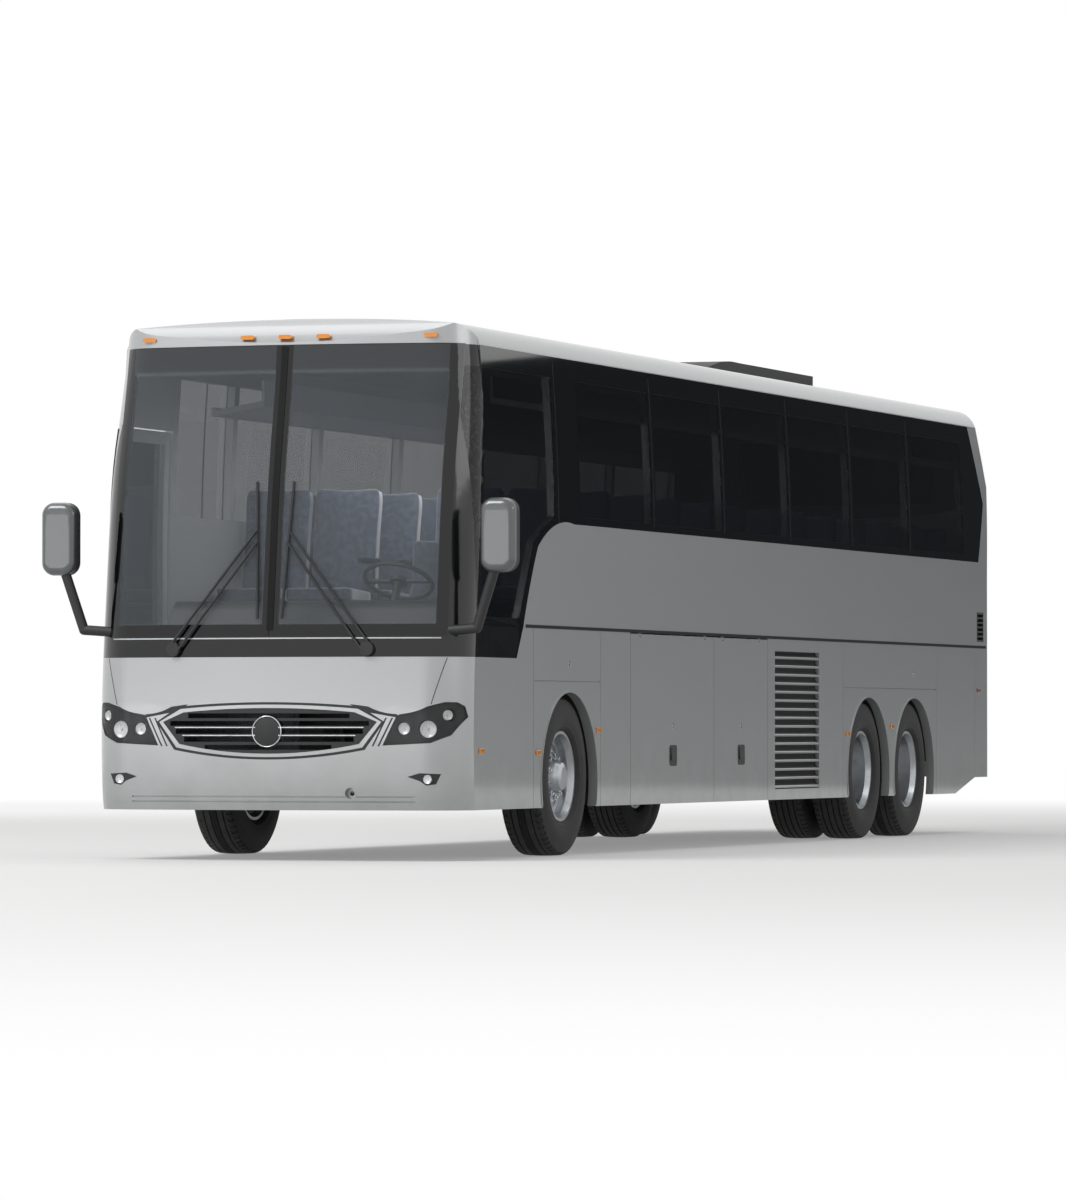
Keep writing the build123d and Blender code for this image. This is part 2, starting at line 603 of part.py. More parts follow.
# Fog lamps: a round lens in a black wing let into the bumper
FOG_X = 1070
FOG_Z = 532
FOG_RADIUS = 32
fog_y = FRONT_Y + front_depth(FOG_X) + rake_at(FOG_Z)
fog_lens = rod(FOG_X, fog_y + 8, FOG_Z, FOG_RADIUS, 36, "Y")
fog_wing = front_skin & along(AHEAD_Y, NOSE_REAR, (940, 548), (1020, 520), (1060, 492), (1120, 500),
                              (1150, 566), (1020, 572))
fog_wing = fog_wing - fog_lens
save("grille", bars, inlays)
save("lamp_housings", both_sides(housing), both_sides(fog_wing))
save("head_lamps", both_sides(cover), both_sides(fog_lens))

# Bumper: what is left of the nose below the windscreen's mask, with two grooves across its foot
bumper = (nose & block(-HALF, HALF, AHEAD_Y, CORNER_Y, SKIRT_Z, PANEL_Z1)) - front_panel
bumper = bumper - [hexagon(0), *both_sides(lamp_block), *both_sides(fog_wing), *both_sides(fog_lens),
                   *inlays]
CREASE_HALF = 980
creases = [block(-CREASE_HALF, CREASE_HALF, AHEAD_Y, NOSE_REAR, z - SEAM, z + SEAM) - front_core
           for z in (386, 418)]
bumper = bumper - creases
bumper = with_tow_socket(bumper + door_lugs, FRONT_Y + FRONT_TOW_DEPTH, FRONT_TOW_Z, 1)
save("front_bumper", bumper)

# Mask round the windscreen, the two panes and the roof
screen = front_skin & block(-GLASS_HALF, GLASS_HALF, AHEAD_Y, CORNER_Y + 260, GLASS_Z0, GUTTER_Z - 6)
screen = screen - doorway
screen_hole = block(-GLASS_HALF + 70, GLASS_HALF - 70, AHEAD_Y, CORNER_Y + 400, GLASS_Z0 + 50,
                    GUTTER_Z - 110)
mask_area = block(-HALF, HALF, AHEAD_Y, CORNER_Y, PANEL_Z1, GUTTER_Z) + screen_zone
mask = ((whole_shell & mask_area) - screen) - screen_hole
DIVIDER = 16
DIVIDER_POST = 70
parting = block(-DIVIDER / 2, DIVIDER / 2, AHEAD_Y, CORNER_Y + 200, GLASS_Z0 - 10, GUTTER_Z)
save("windscreen", screen - parting)
post_area = block(-DIVIDER_POST / 2, DIVIDER_POST / 2, AHEAD_Y, CORNER_Y + 200, GLASS_Z0 + 40, GUTTER_Z - 100)
divider = whole_shell & post_area
mask = mask + ((divider - screen) & mask_area)
save("front_mask", mask)

roof = whole_shell & block(-HALF, HALF, FRONT_Y, REAR_Y, GUTTER_Z, OVER_Z)
roof = roof - across(-HALF, HALF, (SEAM_TOP_Y, GUTTER_Z), (REAR_Y, GUTTER_Z), (REAR_Y, OVER_Z),
                     (SEAM_TOP_Y - 90, OVER_Z))
save("roof_shell", roof)

# Rear end: upper wall with its pane, engine door, bumper and lamps
rear_area = across(-HALF, HALF, (REAR_SEAM_Y, BELT_Z), (BEHIND_Y, BELT_Z), (BEHIND_Y, OVER_Z),
                   (SEAM_TOP_Y - 90, OVER_Z), (SEAM_TOP_Y, GUTTER_Z), (REAR_SEAM_Y, REAR_LEAN_Z))
rear_wall = (whole_shell & rear_area) - left_skin - right_skin
REAR_PANE_HALF = 900
REAR_PANE_Z0 = 2680
REAR_PANE_Z1 = 3340
PANE_LAP = 70
rear_half = REAR_PANE_HALF - PANE_LAP
pane_area = block(-REAR_PANE_HALF, REAR_PANE_HALF, REAR_Y - 800, BEHIND_Y, REAR_PANE_Z0, REAR_PANE_Z1)
rear_pane = whole_skin & pane_area
rear_hole = block(-rear_half, rear_half, REAR_Y - 800, BEHIND_Y, REAR_PANE_Z0 + PANE_LAP,
                  REAR_PANE_Z1 - PANE_LAP)
rear_wall = rear_wall - rear_pane - rear_hole
save("rear_glass", rear_pane)
tail = whole_shell & block(-HALF, HALF, TAIL_Y1 + SEAM / 2, BEHIND_Y, REAR_SKIRT_Z, BELT_Z)
ENGINE_HALF = 860
ENGINE_Z0 = 800
REAR_CUT_Y = REAR_Y - 200
engine_area = block(-ENGINE_HALF, ENGINE_HALF, REAR_CUT_Y, BEHIND_Y, ENGINE_Z0, BELT_Z)
leaf_half = ENGINE_HALF - DOOR_GAP
leaf_area = block(-leaf_half, leaf_half, REAR_CUT_Y, BEHIND_Y, ENGINE_Z0 + DOOR_GAP, DOOR_HEAD_Z - 6)
engine_panel = (rear_solid - rear_body(DOOR_WALL)) & leaf_area
TAIL_LAMP_X = 1010
TAIL_LAMP_RADIUS = 62
TAIL_LAMP_DEPTH = 30
tail_rods = [rod(TAIL_LAMP_X, REAR_Y, z, TAIL_LAMP_RADIUS, 400, "Y") for z in (980, 1140, 1300)]
lamp_skin = rear_shell - rear_body(TAIL_LAMP_DEPTH)
tail_lamps = [both_sides(lamp_skin & tail_rod) for tail_rod in tail_rods]
tail = tail - [engine_area, intake_holes[1], *solids_of(tail_lamps)]
save("tail_lamps", tail_lamps)
ENGINE_SLOTS = 9
ENGINE_SLOT_Z0 = 930
ENGINE_SLOT_PITCH = 46
ENGINE_SLOT_HALF = 620
engine_slots = []
for i in range(ENGINE_SLOTS):
    z = ENGINE_SLOT_Z0 + i * ENGINE_SLOT_PITCH
    engine_slots.append(block(-ENGINE_SLOT_HALF, ENGINE_SLOT_HALF, REAR_CUT_Y, BEHIND_Y, z, z + 20))
engine_panel = engine_panel - engine_slots
ENGINE_HINGE_Y = REAR_Y - 16
engine_lugs = []
for x in (-500, 500):
    engine_panel = engine_panel - block(x - LUG / 2 - 4, x + LUG / 2 + 4, ENGINE_HINGE_Y - 14, BEHIND_Y,
                                        HINGE_Z - 16, BELT_Z)
    engine_panel = engine_panel + rod(x, ENGINE_HINGE_Y, HINGE_Z - 2, PIN_RADIUS, LUG + 10, "X")
    lug = block(x - LUG / 2, x + LUG / 2, ENGINE_HINGE_Y - 8, ENGINE_HINGE_Y + 7, HINGE_Z - 10, BELT_Z + 1)
    engine_lugs.append(lug - rod(x, ENGINE_HINGE_Y, HINGE_Z - 2, PIN_RADIUS + FIT, LUG + 10, "X"))
save("rear_wall", rear_wall + engine_lugs)
save("engine_door", engine_panel)
tail = with_tow_socket(tail, REAR_Y - REAR_TOW_DEPTH, REAR_TOW_Z, -1)
PLATE_Z = 620
PLATE_HOLES_X = 178
PLATE_HOLES_Z = 120
PLATE_HOLE_RADIUS = 3.5
for x in (-PLATE_HOLES_X / 2, PLATE_HOLES_X / 2):
    for z in (PLATE_Z - PLATE_HOLES_Z / 2, PLATE_Z + PLATE_HOLES_Z / 2):
        tail = tail - rod(x, REAR_Y, z, PLATE_HOLE_RADIUS, 400, "Y")
save("rear_bumper", tail)

# Floor, steps and chassis
INNER = HALF - WALL
DECK_FRONT = FRONT_AXLE_Y - 560
DECK_THICK = 40
deck = block(-INNER, INNER, DECK_FRONT, REAR_Y - 260, DECK_Z - DECK_THICK, DECK_Z)
save("floor_deck", deck + block(-1000, 1000, REAR_Y - 270, REAR_Y - WALL - REAR_SAGITTA - 5,
                                DECK_Z - DECK_THICK, DECK_Z))
CAB_FRONT = FRONT_Y + 480
cab_floor = block(-300, INNER, CAB_FRONT, DECK_FRONT, CAB_FLOOR_Z - 40, CAB_FLOOR_Z)
steps = [cab_floor]
for i, z in enumerate((400, 600, 800)):
    steps.append(block(-INNER + 8 + 300 * i, -INNER + 8 + 300 * (i + 1), DOOR_Y0 + 30, DOOR_Y1 - 20, z - 30,
                       z))
    steps.append(block(-INNER + 278 + 300 * i, -INNER + 308 + 300 * i, DOOR_Y0 + 30, DOOR_Y1 - 20, z - 30,
                       z + 200))
steps.append(block(-330, INNER, DECK_FRONT - 30, DECK_FRONT, CAB_FLOOR_Z - 40, DECK_Z))
steps.append(block(-330, 330, DECK_FRONT - 300, DECK_FRONT, CAB_FLOOR_Z - 1, CAB_FLOOR_Z + 195))
steps.append(block(-INNER, -300, DOOR_Y1 - 20, DECK_FRONT, CAB_FLOOR_Z + 360 - 10, DECK_Z))
steps.append(block(-INNER, -300, DOOR_Y1 - 20, DOOR_Y1 + 10, SKIRT_Z + 40, DECK_Z))
stair = steps[0]
for piece in steps[1:]:
    stair = stair + piece
save("cab_floor", stair)

PAN_Z = 370
PAN_Y0 = ARCH_PANEL_Y1 + 40
pan = block(-INNER, INNER, PAN_Y0, BAY_REAR_Y - 10, PAN_Z - 30, PAN_Z)
hold = pan
for y in (PAN_Y0, BAY_FRONT_Y + LEFT_BAYS[0][1] - 15, louvre_y0 - 15, BAY_REAR_Y - 40):
    hold = hold + block(-INNER, INNER, y, y + 30, PAN_Z - 30, DECK_Z - DECK_THICK)
save("luggage_hold", hold)
RAIL_X = 420
RAIL = 80
RAIL_Z0 = 880
# The two ladder frames: their ends and the stations of their cross members
LADDERS = [
    (FRONT_AXLE_Y - 740, PAN_Y0, (FRONT_AXLE_Y - 740, FRONT_AXLE_Y + 480)),
    (BAY_REAR_Y - 10, REAR_Y - 260, (DRIVE_AXLE_Y - 560, TAG_AXLE_Y + 560, REAR_Y - 340)),
]
ladders = []
for y0, y1, members in LADDERS:
    rails = both_sides(block(RAIL_X - RAIL / 2, RAIL_X + RAIL / 2, y0, y1, RAIL_Z0, RAIL_Z0 + RAIL))
    ladder = rails[0] + rails[1]
    for y in members:
        ladder = ladder + block(-RAIL_X, RAIL_X, y, y + RAIL, RAIL_Z0, RAIL_Z0 + RAIL)
    ladders.append(ladder)
save("chassis_frame", ladders)
save("engine_block", block(40 - RAIL_X, RAIL_X - 40, TAG_AXLE_Y + 700, REAR_Y - 420, 560, 1300))

# Wheel houses: half-round sheets over the wheels, joined to the floor above
liners = []
for y, radius in ((FRONT_AXLE_Y, HOUSE_RADIUS), (DRIVE_AXLE_Y, ARCH_RADIUS + 10),
                  (TAG_AXLE_Y, ARCH_RADIUS + 10)):
    sheet = Cylinder(radius + 6, INNER - HOUSE_INNER_X) - Cylinder(radius, INNER)
    sheet = Pos((INNER + HOUSE_INNER_X) / 2, y, ARCH_TOP_Z - ARCH_RADIUS) * Rot(0, 90, 0) * sheet
    liners.append(sheet & block(0, HALF, y - 675, y + 675, AXLE_Z + 60, 1340))
save("wheel_houses", [both_sides(piece) for piece in liners])

# Seats, racks, dashboard and steering wheel, seen through the glass
SEAT_PITCH = 820
SEAT_ROWS = 13
SEAT_WIDTH = 490
SEAT_X = 200
SEAT_DEPTH = 452
SEAT_GAP = 20


def cushion(y, z, width, x):
    """One seat cushion in side view, round at the front."""
    return across(x, x + width, (y + 30, z + 450), (y + SEAT_DEPTH, z + 430), (y + SEAT_DEPTH, z + 330),
                  (y + 30, z + 310), ((y - 15, z + 380), (y + 30, z + 450)))


def backrest(y, z, width, x):
    """One seat back in side view, leaning, with a round head."""
    foot = y + SEAT_DEPTH
    return across(x, x + width, (foot, z + 330), (foot, z + 430), (foot + 105, z + 1100),
                  ((foot + 160, z + 1150), (foot + 210, z + 1095)), (foot + 125, z + 330))


cushions = []
backs = []
for row in range(SEAT_ROWS):
    y = DECK_FRONT + 350 + row * SEAT_PITCH
    second = SEAT_X + SEAT_WIDTH + SEAT_GAP
    pair = cushion(y, DECK_Z, SEAT_WIDTH, SEAT_X) + cushion(y, DECK_Z, SEAT_WIDTH, second)
    pair = pair + block(SEAT_X + 100, second + 100, y + 150, y + 400, DECK_Z + 320, DECK_Z + 400)
    pair = pair + block(SEAT_X + 160, second + 160, y + 200, y + 330, DECK_Z, DECK_Z + 330)
    cushions += both_sides(pair)
    pair = backrest(y, DECK_Z, SEAT_WIDTH, SEAT_X) + backrest(y, DECK_Z, SEAT_WIDTH, second)
    link = y + SEAT_DEPTH + 30
    backs += both_sides(pair + block(SEAT_X + 100, second + 100, link, link + 50, DECK_Z + 345,
                                     DECK_Z + 420))
save("passenger_seats", cushions)
save("seat_backs", backs)
DRIVER_X = 620
DRIVER_WIDTH = 480
driver = cushion(FRONT_Y + 1150, CAB_FLOOR_Z, DRIVER_WIDTH, DRIVER_X - DRIVER_WIDTH / 2)
driver = driver + backrest(FRONT_Y + 1150, CAB_FLOOR_Z, DRIVER_WIDTH, DRIVER_X - DRIVER_WIDTH / 2)
save("driver_seat", driver + rod(DRIVER_X, FRONT_Y + 1390, CAB_FLOOR_Z + 165, 90, 330, "Z"))
rack = along(DECK_FRONT + 300, REAR_Y - 900, (INNER - 420, 3060), (INNER - 40, 3000), (INNER - 40, 3040),
             (INNER - 400, 3100), (INNER - 400, 3240), (INNER - 420, 3240))
rack = rack + block(INNER - 60, half_at(3060) - WALL - FIT, DECK_FRONT + 300, REAR_Y - 900, 3000, 3060)
save("luggage_racks", both_sides(rack))
dash = across(-820, 1050, (FRONT_Y + 230, 1340), (FRONT_Y + 620, 1340), (FRONT_Y + 640, 1560),
              ((FRONT_Y + 560, 1690), (FRONT_Y + 400, 1640)), (FRONT_Y + 330, 1520))
dash = dash + block(-300, 1050, FRONT_Y + 500, FRONT_Y + 620, CAB_FLOOR_Z, 1400)
wheel_rim = Torus(225, 16) + Cylinder(60, 30) + block(-222, 222, -16, 16, -9, 9)
wheel_place = Pos(DRIVER_X, FRONT_Y + 800, 1830) * Rot(-30, 0, 0)
save("steering_wheel", wheel_place * (wheel_rim + Pos(0, 0, -210) * Cylinder(28, 390)))
save("dashboard", dash - wheel_place * (Pos(0, 0, -210) * Cylinder(28 + FIT, 390 + 2 * FIT)))

# Roof unit: a low wedge with its tip ahead
UNIT_Y0 = 320
UNIT_Y1 = 3430
UNIT_HALF = 760
UNIT_TOP = ROOF_Z + 88
UNIT_FOOT = ROOF_Z - 60
unit = across(-UNIT_HALF, UNIT_HALF, (UNIT_Y0, UNIT_FOOT), (UNIT_Y1, UNIT_FOOT), (UNIT_Y1, UNIT_TOP - 60),
              ((UNIT_Y1 - 25, UNIT_TOP - 20), (UNIT_Y1 - 110, UNIT_TOP)), (UNIT_Y0 + 900, UNIT_TOP),
              ((UNIT_Y0 + 420, UNIT_TOP - 22), (UNIT_Y0, ROOF_Z - 20)))
unit = chamfer(unit.edges().filter_by(Axis.Z), 150)
save("roof_unit", unit - tube(0, UNIT_Y0 - 10, UNIT_Y1 + 10))

# Mirrors: a round-edged head on a low arm with an elbow
MIRROR_X = 1530
MIRROR_Y = FRONT_Y + 190
MIRROR_Z = 2110
ELBOW_X = 1370
ARM_RADIUS = 33
mirror_head = Pos(MIRROR_X, MIRROR_Y, MIRROR_Z) * Box(240, 130, 480)
mirror_head = fillet(mirror_head.edges().filter_by(Axis.Y), 85)
mirror_head = fillet(mirror_head.faces().sort_by(Axis.Y)[0].edges(), 50)
mirror_head = fillet(mirror_head.faces().sort_by(Axis.Y)[-1].edges(), 14)
elbow = (ELBOW_X, MIRROR_Y + 20, 1510)
mirror_arm = strut((1150, FRONT_Y + 230, 1495), elbow, ARM_RADIUS) + Pos(*elbow) * Sphere(ARM_RADIUS)
mirror_arm = mirror_arm + strut(elbow, (MIRROR_X - 20, MIRROR_Y, 1930), ARM_RADIUS)
save("mirrors", both_sides(mirror_head + (mirror_arm - front_solid)))

# Wipers: from a boss on the mask two parallel arms reach up to a blade beside the middle
WIPER_LIFT = 30
BLADE_LIFT = 19
# Each arm runs from its boss (x, z) up to the blade (x, z)
WIPER_ARMS = [((702, 1392), (112, 2150)), ((645, 1362), (104, 2075))]
BLADE = ((84, 1575), (128, 2470))


def on_screen(x, z, lift):
    """A point that lies ahead of the front's face."""
    return (x, FRONT_Y + front_depth(x) + rake_at(z) - lift, z)


wiper = strut(on_screen(*BLADE[0], BLADE_LIFT), on_screen(*BLADE[1], BLADE_LIFT), 10)
for foot, head in WIPER_ARMS:
    wiper = wiper + strut(on_screen(*foot, WIPER_LIFT), on_screen(*head, WIPER_LIFT), 9)
wiper_boss = on_screen(673, 1378, 0)
wiper = wiper + rod(*wiper_boss, 46, 2 * WIPER_LIFT + 20, "Y")
save("wipers", both_sides(wiper - front_solid))

# Marker lamps on the roof's front edge
MARKER_Z = 3425
MARKER_BACK = 348
markers = []
for x in (-985, -265, 0, 265, 985):
    marker_y = FRONT_Y + MARKER_BACK + front_depth(x)
    marker = Pos(x, marker_y, MARKER_Z) * Box(92, 60, 28)
    markers.append(fillet(marker.edges().filter_by(Axis.Y), 12) - front_solid)
save("marker_lamps", markers)


def tyre(x):
    """One tyre, with rounded shoulders, about the X axis."""
    half = TYRE_WIDTH / 2
    bead = BEAD_WIDTH / 2
    profile = outline((x - bead, BEAD_RADIUS), (x + bead, BEAD_RADIUS), (x + bead, LIP_RADIUS + 2),
                      ((x + half, 400), (x + half - 18, 500)),
                      ((x + half - 22, TYRE_RADIUS - 14), (x + half - 40, TYRE_RADIUS - 5)),
                      ((x, TYRE_RADIUS), (x - half + 40, TYRE_RADIUS - 5)),
                      ((x - half + 22, TYRE_RADIUS - 14), (x - half + 18, 500)),
                      ((x - half, 400), (x - bead, LIP_RADIUS + 2)))
    return revolve(profile, axis=Axis.X)


# A rim's disc: the circle of its hand holes, their radius, and its outer thickness
HOLE_CIRCLE = 213
HOLE_RADIUS = 26
HOLE_COUNT = 10
DISC = 14


def rim(x, dish):
    """A rim about the X axis: barrel with lips, and a disc set in or out by dish, with its hand holes."""
    bead = BEAD_WIDTH / 2
    edge = bead + 12
    barrel = outline((x - edge, LIP_RADIUS), (x - bead, LIP_RADIUS), (x - bead, BEAD_RADIUS),
                     (x + bead, BEAD_RADIUS), (x + bead, LIP_RADIUS), (x + edge, LIP_RADIUS),
                     (x + edge, 286), (x + bead - 30, 272), (x - bead + 30, 272), (x - edge, 286))
    flat = x + dish
    root = x + dish * 0.35
    disc = outline((flat, 60), (flat, 165), (root - 8, 255), (root - 8, 274), (root + 22, 274),
                   (root + DISC, 245), (flat + DISC, 172), (flat + DISC, 60))
    holes = []
    for i in range(HOLE_COUNT):
        turn = Rot(i * 360 / HOLE_COUNT, 0, 0)
        holes.append(turn * rod((flat + root) / 2, 0, HOLE_CIRCLE, HOLE_RADIUS, 160, "X"))
    return (revolve(barrel, axis=Axis.X) + revolve(disc, axis=Axis.X)) - holes


def wheel(duals, dish):
    """The tyres and the rim of one left wheel, single or twin, about the X axis."""
    tyres = [tyre(TYRE_X)]
    metal = rim(TYRE_X, dish)
    flat = TYRE_X + dish
    if duals:
        inner = TYRE_X - DUAL_SPACING
        tyres.append(tyre(inner))
        metal = metal + rim(inner, flat - inner - DISC)
    bore = SPINDLE_RADIUS + FIT
    hub = outline((flat - 60, bore), (flat - 60, 120), (flat + 5, 124), (flat + DISC + 4, 116),
                  (flat + 60, 104), (flat + 92, 92), (flat + 105, 66), (flat + 105, 0), (flat + 60, 0),
                  (flat + 60, bore))
    return tyres, metal + revolve(hub, axis=Axis.X)


FRONT_DISH = 45
REAR_DISH = -DUAL_SPACING / 2
# Wheels: axle, its station, whether it is a twin, and how far its disc is set out
WHEELS = [("front", FRONT_AXLE_Y, False, FRONT_DISH), ("drive", DRIVE_AXLE_Y, True, REAR_DISH),
          ("tag", TAG_AXLE_Y, False, REAR_DISH)]
for name, y, duals, dish in WHEELS:
    tyres, metal = wheel(duals, dish)
    for kind, shapes in (("tyre_", tyres), ("rim_", [metal])):
        placed = [Pos(0, y, AXLE_Z) * shape for shape in shapes]
        save(kind + name + "_left", placed)
        save(kind + name + "_right", [mirror(shape, about=Plane.YZ) for shape in placed])

# Front axle with its eyes, knuckles with kingpins, and the two rear axle tubes
EYE = 50
KINGPIN_RADIUS = 22
beam = block(-KINGPIN_X, KINGPIN_X, FRONT_AXLE_Y - 45, FRONT_AXLE_Y + 45, AXLE_Z - 40, AXLE_Z + 40)
for sign in (-1, 1):
    beam = beam + rod(sign * KINGPIN_X, FRONT_AXLE_Y, AXLE_Z, EYE, 110, "Z")
for sign in (-1, 1):
    beam = beam - rod(sign * KINGPIN_X, FRONT_AXLE_Y, AXLE_Z, KINGPIN_RADIUS + FIT, 120, "Z")
    beam = beam + block(sign * (RAIL_X - 40), sign * (RAIL_X + 40), FRONT_AXLE_Y - 60, FRONT_AXLE_Y + 60,
                        AXLE_Z + 39, 880)
save("front_axle", beam)
spindle_end = TYRE_X + FRONT_DISH + 58
knuckle = rod(KINGPIN_X, FRONT_AXLE_Y, AXLE_Z, KINGPIN_RADIUS, 200, "Z")
for z in (AXLE_Z + 80, AXLE_Z - 80):
    knuckle = knuckle + rod(KINGPIN_X, FRONT_AXLE_Y, z, EYE, 46, "Z")
    knuckle = knuckle + block(KINGPIN_X, KINGPIN_X + 95, FRONT_AXLE_Y - EYE, FRONT_AXLE_Y + EYE, z - 23,
                              z + 23)
knuckle = knuckle + block(KINGPIN_X + 57, KINGPIN_X + 95, FRONT_AXLE_Y - EYE, FRONT_AXLE_Y + EYE,
                          AXLE_Z - 60, AXLE_Z + 60)
knuckle = knuckle + rod((KINGPIN_X + 90 + spindle_end) / 2, FRONT_AXLE_Y, AXLE_Z, SPINDLE_RADIUS,
                        spindle_end - KINGPIN_X - 90, "X")
save("knuckle_left", knuckle)
save("knuckle_right", mirror(knuckle, about=Plane.YZ))
axle_end = TYRE_X + REAR_DISH + 58
for name, y in (("drive_axle", DRIVE_AXLE_Y), ("tag_axle", TAG_AXLE_Y)):
    tube_axle = rod(0, y, AXLE_Z, SPINDLE_RADIUS, 2 * axle_end, "X") + rod(0, y, AXLE_Z, 70,
                                                                           2 * axle_end - 260, "X")
    if name == "drive_axle":
        tube_axle = tube_axle + rod(0, y, AXLE_Z, 190, 240, "X")
    for sign in (-1, 1):
        tube_axle = tube_axle + block(sign * (RAIL_X - 40), sign * (RAIL_X + 40), y - 60, y + 60, AXLE_Z,
                                      880)
    save(name, tube_axle)

os.makedirs("parts", exist_ok=True)
for name, shape in parts.items():
    export_step(shape, f"parts/{name}.step")
print(len(parts), "nodes")
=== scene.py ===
# %% [markdown]
# # A coach bus in a studio
# The coach's solid pieces come in as a fixed frame: every body, hinge and axle is already at its real place.
# This notebook gives them their looks, adds what a solid model leaves out, such as tread, nuts, seals and
# upholstery, and sets up the camera and the lamps.

# %% Load the frame
import json
from math import atan2, cos, hypot, pi, radians, sin, tan

import bmesh
import bpy
from mathutils import Matrix, Vector
from mathutils.bvhtree import BVHTree


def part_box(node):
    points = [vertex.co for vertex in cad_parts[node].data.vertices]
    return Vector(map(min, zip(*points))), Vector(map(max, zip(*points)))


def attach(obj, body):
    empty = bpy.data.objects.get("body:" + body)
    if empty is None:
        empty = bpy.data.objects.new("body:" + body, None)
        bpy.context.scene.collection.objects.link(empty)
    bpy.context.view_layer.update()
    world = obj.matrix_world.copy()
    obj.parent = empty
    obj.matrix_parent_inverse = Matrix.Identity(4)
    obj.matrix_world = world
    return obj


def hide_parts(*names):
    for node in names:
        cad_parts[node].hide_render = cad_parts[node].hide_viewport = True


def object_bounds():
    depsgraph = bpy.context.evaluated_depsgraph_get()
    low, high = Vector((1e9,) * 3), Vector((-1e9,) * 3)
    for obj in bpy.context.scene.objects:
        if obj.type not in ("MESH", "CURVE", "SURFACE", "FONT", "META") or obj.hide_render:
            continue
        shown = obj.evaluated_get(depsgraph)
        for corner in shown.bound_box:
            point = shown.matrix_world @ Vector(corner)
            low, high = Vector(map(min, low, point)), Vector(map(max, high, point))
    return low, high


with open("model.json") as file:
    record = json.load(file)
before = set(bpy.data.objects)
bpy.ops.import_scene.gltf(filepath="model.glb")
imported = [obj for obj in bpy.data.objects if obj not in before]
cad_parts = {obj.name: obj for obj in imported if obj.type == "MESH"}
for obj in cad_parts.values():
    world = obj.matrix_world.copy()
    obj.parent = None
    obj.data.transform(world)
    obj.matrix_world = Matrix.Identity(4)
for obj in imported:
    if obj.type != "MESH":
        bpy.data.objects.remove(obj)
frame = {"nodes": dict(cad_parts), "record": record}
cad_low, cad_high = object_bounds()
print("nodes", len(frame["nodes"]), "size", [round(side, 3) for side in cad_high - cad_low])

# %% [markdown]
# ## The camera
# The photographer stood low, some 43 m ahead of the coach and about 21 degrees to its driver's side, so the
# front and one long side show with little perspective. The eye stays there, and the lens is chosen so that
# the coach fills the picture: moving nearer would change its proportions, a longer lens doesn't.

# %% Camera
EYE = Vector((15.36, -47.27, 0.85))
ASPECT = 1066 / 1200
FILL = 0.94
SENSOR = 36.0
CLIP_END = 500

corners = [Vector((x, y, z)) for x in (cad_low.x, cad_high.x) for y in (cad_low.y, cad_high.y)
           for z in (cad_low.z, cad_high.z)]
bearings = [atan2(corner.x - EYE.x, corner.y - EYE.y) for corner in corners]
bearing = (min(bearings) + max(bearings)) / 2
half_width = tan((max(bearings) - min(bearings)) / 2) / FILL
aim_distance = -EYE.y
aim = Vector((EYE.x + aim_distance * tan(bearing), 0.0, (cad_low.z + cad_high.z) / 2))
camera_data = bpy.data.cameras.new("photo_camera")
camera_data.sensor_width = SENSOR
camera_data.lens = SENSOR / 2 * ASPECT / half_width
camera_data.clip_end = CLIP_END
camera = bpy.data.objects.new("photo_camera", camera_data)
bpy.context.scene.collection.objects.link(camera)
camera.location = EYE
camera.rotation_euler = (aim - EYE).to_track_quat("-Z", "Y").to_euler()
bpy.context.scene.camera = camera
print("lens", round(camera_data.lens, 1), "mm, aim", [round(value, 2) for value in aim])

# %% [markdown]
# ## Shader maths in plain Python
# A material is a small network of nodes. Drawing it by hand in code takes many lines, so one class wraps a
# socket and lets Python's operators add the Math nodes, one adds nodes to a network, and a third holds a
# material with its one shader.


# %% Sockets and finishes
# The share of light that glass mirrors face on, and how rough every noise is
FACE_ON = 0.04
NOISE_ROUGHNESS = 0.55


class Wire:
    """A socket that Python's operators work on; each operator adds a Math node."""

    def __init__(self, network, socket):
        self.network = network
        self.socket = socket

    def maths(self, operation, first, second):
        return self.network.node("ShaderNodeMath", {"operation": operation}, {0: first, 1: second})

    def __add__(self, other):
        return self.maths("ADD", self, other)

    def __sub__(self, other):
        return self.maths("SUBTRACT", self, other)

    def __rsub__(self, other):
        return self.maths("SUBTRACT", other, self)

    def __mul__(self, other):
        return self.maths("MULTIPLY", self, other)

    __radd__ = __add__
    __rmul__ = __mul__

    def magnitude(self):
        """The value without its sign."""
        return self.maths("ABSOLUTE", self, 0)

    def above(self, low, high):
        """0 below low, 1 above high, and a smooth step between them."""
        settings = {"interpolation_type": "SMOOTHSTEP"}
        return self.network.node("ShaderNodeMapRange", settings, {0: self, 1: low, 2: high})


class Network:
    """The nodes of a material or of the surround."""

    def __init__(self, tree):
        self.tree = tree

    def join(self, socket, value):
        """Links a wire to a socket, or sets the socket to a constant."""
        if isinstance(value, Wire):
            self.tree.links.new(value.socket, socket)
        else:
            socket.default_value = value

    def node(self, kind, settings=None, values=None, output=0):
        """Adds a node with its settings, then the values or wires of its sockets."""
        made = self.tree.nodes.new(kind)
        for key, value in (settings or {}).items():
            setattr(made, key, value)
        for key, value in (values or {}).items():
            self.join(made.inputs[key], value)
        return Wire(self, made.outputs[output])


